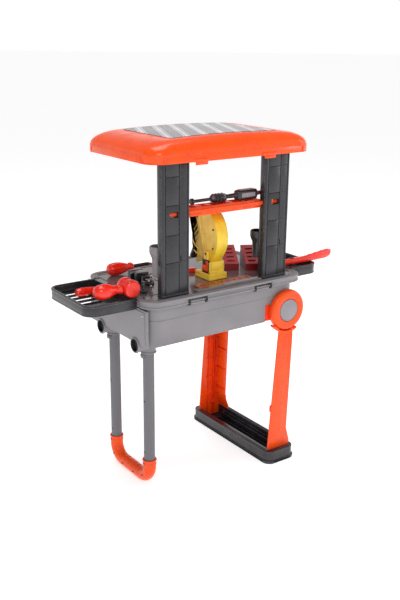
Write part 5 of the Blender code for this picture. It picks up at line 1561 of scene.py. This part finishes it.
class BENCH_OT_fittings(bpy.types.Operator):
    """Perforated strip, two slotted boards with their top plates, the bolt in the first, and the tool cups"""

    bl_idname = "bench.fittings"
    bl_label = "Deck fittings"

    def execute(self, context):
        paint("hole_strip", "strip")
        self.boards()
        self.bolt()
        for side in ("left", "right"):
            self.cup(side)
        return {"FINISHED"}

    def boards(self):
        width, run = 0.0315, 0.070
        front, back = 0.0137, 0.0385
        slope = math.atan2(back - front, run)
        for number in (1, 2):
            low = span(f"slotted_board_{number}")[0]
            paint(f"slotted_board_{number}", "board")
            turn = math.radians(-28)
            origin = Vector((low.x, low.y - width * math.sin(turn), low.z))
            place = Matrix.Translation(origin) @ Matrix.Rotation(turn, 4, "Z")
            tilt = place @ Matrix.Translation((0, 0, front)) @ Matrix.Rotation(slope, 4, "X")
            long = run / math.cos(slope)
            top = block((0.0004, 0.0004, -0.0002), (width - 0.0004, long - 0.0004, 0.0010))
            for i in range(4):
                y = long * (0.16 + 0.205 * i)
                pierced(top, "Z", (width * 0.24, y - 0.0030, 0), (width * 0.76, y + 0.0030, 0))
            round_edges(top, [e for e in sharp_edges(top, 60)], 0.00035, 1)
            moved(top, tilt)
            # Top plates in the pale rose of the painted sheen.
            piece(f"board_top_plate_{number}", [top], "board_top_painted_sheen", "case")
            # Dark blocks under the slots: painted shade for the hollows below them.
            slot_shades = []
            for i in range(4):
                y = long * (0.16 + 0.205 * i)
                slot_shades.append(moved(block((width * 0.25, y - 0.0026, -0.0054),
                                         (width * 0.75, y + 0.0026, -0.0040)), tilt))
            piece(f"board_slot_painted_shade_{number}", slot_shades, "dark", "case")

    def bolt(self):
        low, high, middle = span("board_bolt")
        shapes = [
            rod((middle.x, middle.y, low.z), (middle.x, middle.y, high.z - 0.010), 0.0031, sides=24),
            rod((middle.x, middle.y, high.z - 0.0105), (middle.x, middle.y, high.z - 0.0010), 0.0068,
                sides=6, rounding=0.0008),
            rod((middle.x, middle.y, high.z - 0.0012), (middle.x, middle.y, high.z), 0.0056, tip=0.0048,
                sides=24),
        ]
        piece("board_bolt_black", shapes, "black", "case", "board_bolt")
        collar = [turned([(0.0036, 0), (0.0076, 0.0002), (0.0080, 0.0012), (0.0076, 0.0022),
                          (0.0036, 0.0024), (0.0036, 0)],
                         (middle.x, middle.y, high.z - 0.0134), (0, 0, 1), steps=32)]
        # The washer takes the same rose of the painted sheen.
        piece("board_bolt_washer", collar, "board_top_painted_sheen", "case")

    def cup(self, side):
        """A tapered cup with a castellated, flared mouth and a foot ring."""
        low, high, middle = span(f"tool_cup_{side}")
        radius = (high.x - low.x) / 2
        height = high.z - low.z
        flare = height - 0.024
        profile = [(0, 0.0020), (0.0082, 0.0020), (0.0092, flare), (radius - 0.0022, flare + 0.0090),
                   (radius - 0.0022, height - 0.0008),
                   (radius - 0.0012, height), (radius - 0.0002, height - 0.0010),
                   (radius - 0.0002, flare + 0.0100), (radius - 0.0012, flare + 0.0076),
                   (0.0116, flare + 0.0006), (0.0112, flare - 0.0020), (0.0100, 0.0030), (0.0106, 0.0006),
                   (0.0094, 0.0), (0, 0.0)]
        shapes = [turned(profile, (middle.x, middle.y, low.z), (0, 0, 1), steps=48)]
        for i in range(8):
            angle = math.radians(22.5 + 45 * i)
            tooth = block((radius - 0.0014, -0.0024, height - 0.0125),
                          (radius + 0.0004, 0.0024, height - 0.0010), 0.0006)
            shapes.append(moved(tooth,
                                Matrix.Translation((middle.x, middle.y, low.z)) @ Matrix.Rotation(angle, 4,
                                    "Z")))
        post_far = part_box(f"post_{side}")[1].y
        shapes.append(block((middle.x - 0.0060, post_far, low.z + 0.0100),
                            (middle.x + 0.0060, middle.y - 0.0085, low.z + 0.0260), 0.0010))
        piece(f"tool_cup_turned_{side}", shapes, "grey" if side == "left" else "black", "post_frame",
              f"tool_cup_{side}")


class BENCH_OT_vice(bpy.types.Operator):
    """Toy vice: base with its fixed jaw, sliding jaw with jaw plates, and the screw with its bar"""

    bl_idname = "bench.vice"
    bl_label = "Vice"

    def execute(self, context):
        low, high, _ = span("vice_base")
        base = from_frame("vice_base", 0.0008, 40)
        foot = slab((low.x - 0.0020, low.y + 0.0004, low.z),
                    (high.x + 0.0020, high.y + 0.0010, low.z + 0.0030), 0.0050, 0.0010)
        ears = [turned([(0, 0), (0.0050, 0), (0.0050, 0.0034), (0.0040, 0.0044), (0, 0.0044)],
                       (x, y, low.z), (0, 0, 1), steps=28)
                for x, y in ((low.x - 0.0005, low.y + 0.008), (high.x + 0.0005, low.y + 0.008),
                             (low.x - 0.0005, high.y - 0.006), (high.x + 0.0005, high.y - 0.006))]
        piece("vice_body", [base, foot] + ears, "black", "case", "vice_base")
        jaw_low, jaw_high, _ = span("vice_jaw")
        piece("vice_sliding_jaw", [from_frame("vice_jaw", 0.0008, 40)], "black", "vice_slide", "vice_jaw")
        faces = [block((low.x + 0.0015, low.y + 0.0392, high.z - 0.0140),
                       (high.x - 0.0015, low.y + 0.0402, high.z - 0.0010), 0.0004)]
        piece("vice_fixed_plate", faces, "chrome", "case")
        plate_front = block((jaw_low.x + 0.0010, jaw_high.y - 0.0002, jaw_high.z - 0.0125),
                            (jaw_high.x - 0.0010, jaw_high.y + 0.0008, jaw_high.z - 0.0010), 0.0004)
        piece("vice_moving_plate", [plate_front], "chrome", "vice_slide")
        self.screw()
        return {"FINISHED"}

    def screw(self):
        low, high, middle = span("vice_screw")
        x, z = middle.x, middle.z
        shapes = [rod((x, low.y + 0.004, z), (x, high.y, z), 0.0020, sides=24)]
        for i in range(9):
            y = low.y + 0.0130 + 0.0024 * i
            shapes.append(turned([(0.0019, -0.0008), (0.0026, 0.0), (0.0019, 0.0008), (0.0019, -0.0008)],
                                 (x, y, z), (0, 1, 0), steps=24))
        shapes.append(turned([(0, 0), (0.0050, 0.0004), (0.0060, 0.0014), (0.0060, 0.0042),
                              (0.0050, 0.0052), (0, 0.0052)], (x, low.y, z), (0, 1, 0), steps=32))
        bar_y = low.y + 0.0026
        shapes.append(rod((x, bar_y, low.z + 0.001), (x, bar_y, high.z - 0.001), 0.0017, sides=20))
        for end in (low.z + 0.0022, high.z - 0.0022):
            shapes.append(turned([(0, -0.0022), (0.0018, -0.0018), (0.0024, 0.0), (0.0018, 0.0018),
                                  (0, 0.0022)], (x, bar_y, end), (0, 0, 1), steps=20))
        piece("vice_screw_threaded", shapes, "chrome", "vice_spindle", "vice_screw")


# Loose tools.


class BENCH_OT_tools(bpy.types.Operator):
    """Loose tools: mallet, screwdriver, tray driver, pliers, spanner, chisel, nut and bolt"""

    bl_idname = "bench.tools"
    bl_label = "Loose tools"

    def execute(self, context):
        self.mallet()
        self.screwdriver()
        self.tray_driver()
        self.pliers()
        self.spanner()
        self.small_parts()
        return {"FINISHED"}

    def mallet(self):
        low, high, middle = span("mallet_head")
        radius = (high.z - low.z) / 2
        half = (high.y - low.y) / 2
        profile = [(0, -half), (radius * 0.80, -half), (radius * 0.93, -half + 0.0014),
                   (radius, -half + 0.0040), (radius, -half + 0.0100), (radius * 0.90, -half + 0.0120),
                   (radius * 0.90, half - 0.0120), (radius, half - 0.0100), (radius, half - 0.0040),
                   (radius * 0.93, half - 0.0014), (radius * 0.80, half), (0, half)]
        piece("mallet_head_turned", [turned(profile, middle, (0, 1, 0), steps=64)], "red", "mallet",
              "mallet_head")
        low, high, grip = span("mallet_handle")
        start = low.x
        y, z = grip.y, grip.z
        big = (high.z - low.z) / 2
        profile = [(0, 0.0), (big * 0.45, 0.0006), (big * 0.78, 0.0050), (big * 0.96, 0.0120),
                   (big, 0.0200), (big * 0.95, 0.0280), (big * 0.80, 0.0350),
                   (big * 0.60, 0.0420), (big * 0.52, 0.0500), (big * 0.60, 0.0530), (big * 0.68, 0.0545),
                   (big * 0.68, 0.0572), (big * 0.44, 0.0580), (big * 0.40, 0.0825), (0, 0.0825)]
        handle = turned(profile, (start, y, z), (1, 0, 0), steps=60)
        self.flute(handle, Vector((start, y, z)), 0.006, 0.040, 6, 0.0007)
        piece("mallet_grip", [handle], "red", "mallet", "mallet_handle")

    @staticmethod
    def flute(shape, origin, start, end, count, depth):
        """Presses shallow lengthwise flutes into a grip that was turned along X."""
        for vert in shape.verts:
            along = vert.co.x - origin.x
            if not start < along < end:
                continue
            fade = math.sin(math.pi * (along - start) / (end - start))
            across = Vector((0, vert.co.y - origin.y, vert.co.z - origin.z))
            if across.length < 1e-5:
                continue
            angle = math.atan2(across.z, across.y)
            press = depth * fade * (0.5 + 0.5 * math.cos(angle * count))
            scale = (across.length - press) / across.length
            vert.co.y = origin.y + across.y * scale
            vert.co.z = origin.z + across.z * scale

    def screwdriver(self):
        low, high, middle = span("screwdriver_handle")
        radius = (high.z - low.z) / 2
        y, z = middle.y, middle.z
        profile = [(0, 0), (0.0060, 0.0004), (0.0098, 0.0030), (0.0126, 0.0080), (radius, 0.0150),
                   (radius, 0.0250), (0.0124, 0.0330), (0.0100, 0.0420),
                   (0.0070, 0.0485), (0.0066, 0.0500), (0.0084, 0.0520), (0.0086, 0.0565), (0.0070, 0.0600),
                   (0.0050, 0.0620), (0, 0.0622)]
        handle = turned(profile, (low.x, y, z), (1, 0, 0), steps=72)
        self.flute(handle, Vector((low.x, y, z)), 0.006, 0.046, 8, 0.0009)
        piece("screwdriver_grip", [handle], "red", "screwdriver", "screwdriver_handle")
        low, high, middle = span("screwdriver_shaft")
        shaft = rod((low.x, y, z), (high.x - 0.006, y, z), 0.0033, sides=28)
        blade = block((high.x - 0.0065, y - 0.0036, z - 0.0010), (high.x, y + 0.0036, z + 0.0010), 0.0004)
        piece("screwdriver_blade", [shaft, blade], "black", "screwdriver", "screwdriver_shaft")

    def tray_driver(self):
        low, high, middle = span("tray_driver")
        long = high.x - low.x
        radius = (high.z - low.z) / 2
        profile = [(0, 0), (radius * 0.70, 0.0010), (radius * 0.95, 0.0060), (radius, 0.0140),
                   (radius * 0.92, 0.0260), (radius * 0.80, 0.0360), (radius * 0.62, long - 0.002),
                   (0, long)]
        body = turned(profile, (low.x, middle.y, middle.z), (1, 0, 0), steps=54)
        self.flute(body, Vector((low.x, middle.y, middle.z)), 0.003, 0.040, 6, 0.0008)
        piece("tray_driver_grip", [body], "red", "tray_driver_tool", "tray_driver")

    def pliers(self):
        low, high, middle = span("toy_pliers")
        jaw = from_frame("toy_pliers", 0.0018, 25)
        shapes = [jaw]
        lever = [(low.x + 0.016, low.z + 0.0010), (high.x - 0.004, low.z + 0.0045),
                 (high.x, low.z + 0.0080), (high.x, high.z + 0.0080),
                 (high.x - 0.012, high.z + 0.0092), (low.x + 0.050, high.z + 0.0010)]
        shapes.append(plate(lever, "Y", low.y + 0.0012, low.y + 0.0090, 0.0018))
        for i in range(3):
            x = high.x - 0.030 - 0.018 * i
            shapes.append(block((x, low.y + 0.0030, high.z + 0.0020),
                                (x + 0.010, low.y + 0.0072, high.z + 0.0082 - 0.0018 * i), 0.0008))
        piece("pliers_grips", shapes, "red", "pliers", "toy_pliers")
        rivet = [turned([(0.0060, 0), (0.0058, 0.0010), (0.0030, 0.0018), (0, 0.0018)],
                        (low.x + 0.026, middle.y + 0.0040, high.z - 0.0002), (0, 0, 1), steps=28)]
        piece("pliers_rivet", rivet, "dark", "pliers")

    def spanner(self):
        piece("spanner_body", [from_frame("toy_spanner", 0.0014, 25)], "hub", "spanner", "toy_spanner")

    def small_parts(self):
        piece("chisel_body", [from_frame("toy_chisel", 0.0012, 25)], "red", "chisel", "toy_chisel")
        low, high, middle = span("toy_nut")
        ring_nut = turned([(0.0042, 0.0), (0.0078, 0.0), (0.0085, 0.0010), (0.0085, 0.0060),
                           (0.0078, 0.0070), (0.0042, 0.0070), (0.0042, 0.0)],
                          (middle.x, middle.y, low.z), (0, 0, 1), steps=6)
        piece("nut_hexagon", [ring_nut], "chrome", "nut", "toy_nut", smooth=20)
        low, high, middle = span("toy_bolt")
        head = rod((middle.x, middle.y, low.z), (middle.x, middle.y, low.z + 0.0060), 0.0080, sides=6,
                   rounding=0.0007)
        shank = rod((middle.x, middle.y, low.z + 0.004), (middle.x, middle.y, high.z - 0.0008), 0.0033,
                    sides=24)
        threads = [turned([(0.0030, -0.0008), (0.0038, 0.0), (0.0030, 0.0008), (0.0030, -0.0008)],
                          (middle.x, middle.y, low.z + 0.0085 + 0.0020 * i), (0, 0, 1), steps=24)
                   for i in range(7)]
        piece("bolt_threaded", [head, shank] + threads, "black", "bolt", "toy_bolt", smooth=25)


# Stage.


class BENCH_OT_stage(bpy.types.Operator):
    """Pale floor, soft studio lights and the camera"""

    bl_idname = "bench.stage"
    bl_label = "Stage"

    def execute(self, context):
        self.floor()
        self.lights()
        self.camera()
        scene = bpy.context.scene
        scene.view_settings.view_transform = "Standard"
        scene.view_settings.look = "None"
        return {"FINISHED"}

    def floor(self):
        made, tree, shader = blank("matt_studio_paper")
        place = add(tree, "ShaderNodeTexCoord").outputs["Object"]
        fibre = add(tree, "ShaderNodeTexNoise", {}, {"Vector": place, "Scale": 90.0, "Detail": 3.0})
        tone = add(tree, "ShaderNodeMapRange", {},
                   {"Value": fibre.outputs["Fac"], "To Min": 0.955, "To Max": 0.985})
        paper = add(
            tree, "ShaderNodeMix", {"data_type": "RGBA", "blend_type": "MULTIPLY"},
            {"Factor": 1.0, 6: (*colours().floor, 1), 7: tone.outputs["Result"]})
        tree.links.new(paper.outputs[2], shader.inputs["Base Color"])
        shader.inputs["Roughness"].default_value = 0.85
        shader.inputs["Specular IOR Level"].default_value = 0.2
        shader.inputs["Emission Color"].default_value = (1, 1, 1, 1)
        shader.inputs["Emission Strength"].default_value = 0.57
        shape = bmesh.new()
        bmesh.ops.create_circle(shape, cap_ends=True, segments=64, radius=40.0)
        bmesh.ops.recalc_face_normals(shape, faces=shape.faces[:])
        if shape.faces[:][0].normal.z < 0:
            bmesh.ops.reverse_faces(shape, faces=shape.faces[:])
        mesh = bpy.data.meshes.new("studio_floor")
        shape.to_mesh(mesh)
        shape.free()
        mesh.materials.append(made)
        ground = bpy.data.objects.new("studio_floor", mesh)
        bpy.context.scene.collection.objects.link(ground)

    def light(self, name, place, aim, width, height, power, tint="FFFFFF"):
        data = bpy.data.lights.new(name, "AREA")
        data.shape = "RECTANGLE"
        data.size = width
        data.size_y = height
        data.energy = power
        data.color = linear(tint)
        made = bpy.data.objects.new(name, data)
        made.location = place
        made.rotation_euler = (Vector(aim) - Vector(place)).to_track_quat("-Z", "Y").to_euler()
        bpy.context.scene.collection.objects.link(made)

    def lights(self):
        world = bpy.data.worlds.new("soft_studio")
        bpy.context.scene.world = world
        world.use_nodes = True
        tree = world.node_tree
        tree.nodes["Background"].inputs["Color"].default_value = (1, 1, 1, 1)
        # White at the horizon and dimmer overhead, as in a room with pale walls.
        height = add(tree, "ShaderNodeSeparateXYZ", {},
                     {0: add(tree, "ShaderNodeTexCoord").outputs["Generated"]})
        fall = add(tree, "ShaderNodeMapRange", {"interpolation_type": "SMOOTHSTEP"},
                   {"Value": height.outputs["Z"], "From Min": 0.06, "From Max": 0.55, "To Min": 1.0,
                    "To Max": 0.34})
        tree.links.new(fall.outputs["Result"], tree.nodes["Background"].inputs["Strength"])
        self.light("key_softbox", (-1.0, -2.2, 2.0), (0, 0, 0.40), 0.9, 0.8, 16)
        self.light("top_softbox", (0.1, 0.2, 2.6), (0, 0, 0.4), 1.3, 1.3, 24)
        self.light("right_strip", (2.2, -1.2, 1.2), (0, 0, 0.4), 0.5, 1.6, 10)

    def camera(self):
        turn, lift, roll = math.radians(-35.551), math.radians(17.711), math.radians(0.528)
        back = Vector((math.sin(turn) * math.cos(lift), -math.cos(turn) * math.cos(lift), math.sin(lift)))
        right = Vector((math.cos(turn), math.sin(turn), 0))
        up = back.cross(right)
        level_x = math.cos(roll) * right + math.sin(roll) * up
        level_y = -math.sin(roll) * right + math.cos(roll) * up
        data = bpy.data.cameras.new("camera")
        data.lens = 50.23
        data.sensor_width = 36
        data.clip_start = 0.05
        camera = bpy.data.objects.new("camera", data)
        turned_to = Matrix((level_x, level_y, back)).transposed().to_4x4()
        camera.matrix_world = Matrix.Translation((-0.99641, -1.39087, 0.90273)) @ turned_to
        bpy.context.scene.collection.objects.link(camera)
        bpy.context.scene.camera = camera


OPERATORS = (
    BENCH_OT_case,
    BENCH_OT_deck,
    BENCH_OT_bracket,
    BENCH_OT_handle,
    BENCH_OT_wheels,
    BENCH_OT_legs,
    BENCH_OT_posts,
    BENCH_OT_crossbar,
    BENCH_OT_roof,
    BENCH_OT_trays,
    BENCH_OT_saw,
    BENCH_OT_fittings,
    BENCH_OT_vice,
    BENCH_OT_tools,
    BENCH_OT_stage,
)


class BENCH_PT_panel(bpy.types.Panel):
    """Lists the bench's pieces in the order in which they are made"""

    bl_label = "Workbench"
    bl_idname = "BENCH_PT_panel"
    bl_space_type = "VIEW_3D"
    bl_region_type = "UI"
    bl_category = "Workbench"

    def draw(self, context):
        column = self.layout.column(align=True)
        for operator in OPERATORS:
            column.operator(operator.bl_idname)
        for group in (context.scene.bench_sizes, context.scene.bench_colours):
            box = self.layout.box()
            for name in group.__annotations__:
                box.prop(group, name)


CLASSES = (BenchSizes, BenchColours) + OPERATORS + (BENCH_PT_panel,)


def register():
    for made in CLASSES:
        bpy.utils.register_class(made)
    bpy.types.Scene.bench_sizes = bpy.props.PointerProperty(type=BenchSizes)
    bpy.types.Scene.bench_colours = bpy.props.PointerProperty(type=BenchColours)


def unregister():
    del bpy.types.Scene.bench_colours
    del bpy.types.Scene.bench_sizes
    for made in reversed(CLASSES):
        bpy.utils.unregister_class(made)


def main():
    register()
    for operator in OPERATORS:
        group, name = operator.bl_idname.split(".")
        getattr(getattr(bpy.ops, group), name)()


if __name__ == "__main__":
    main()
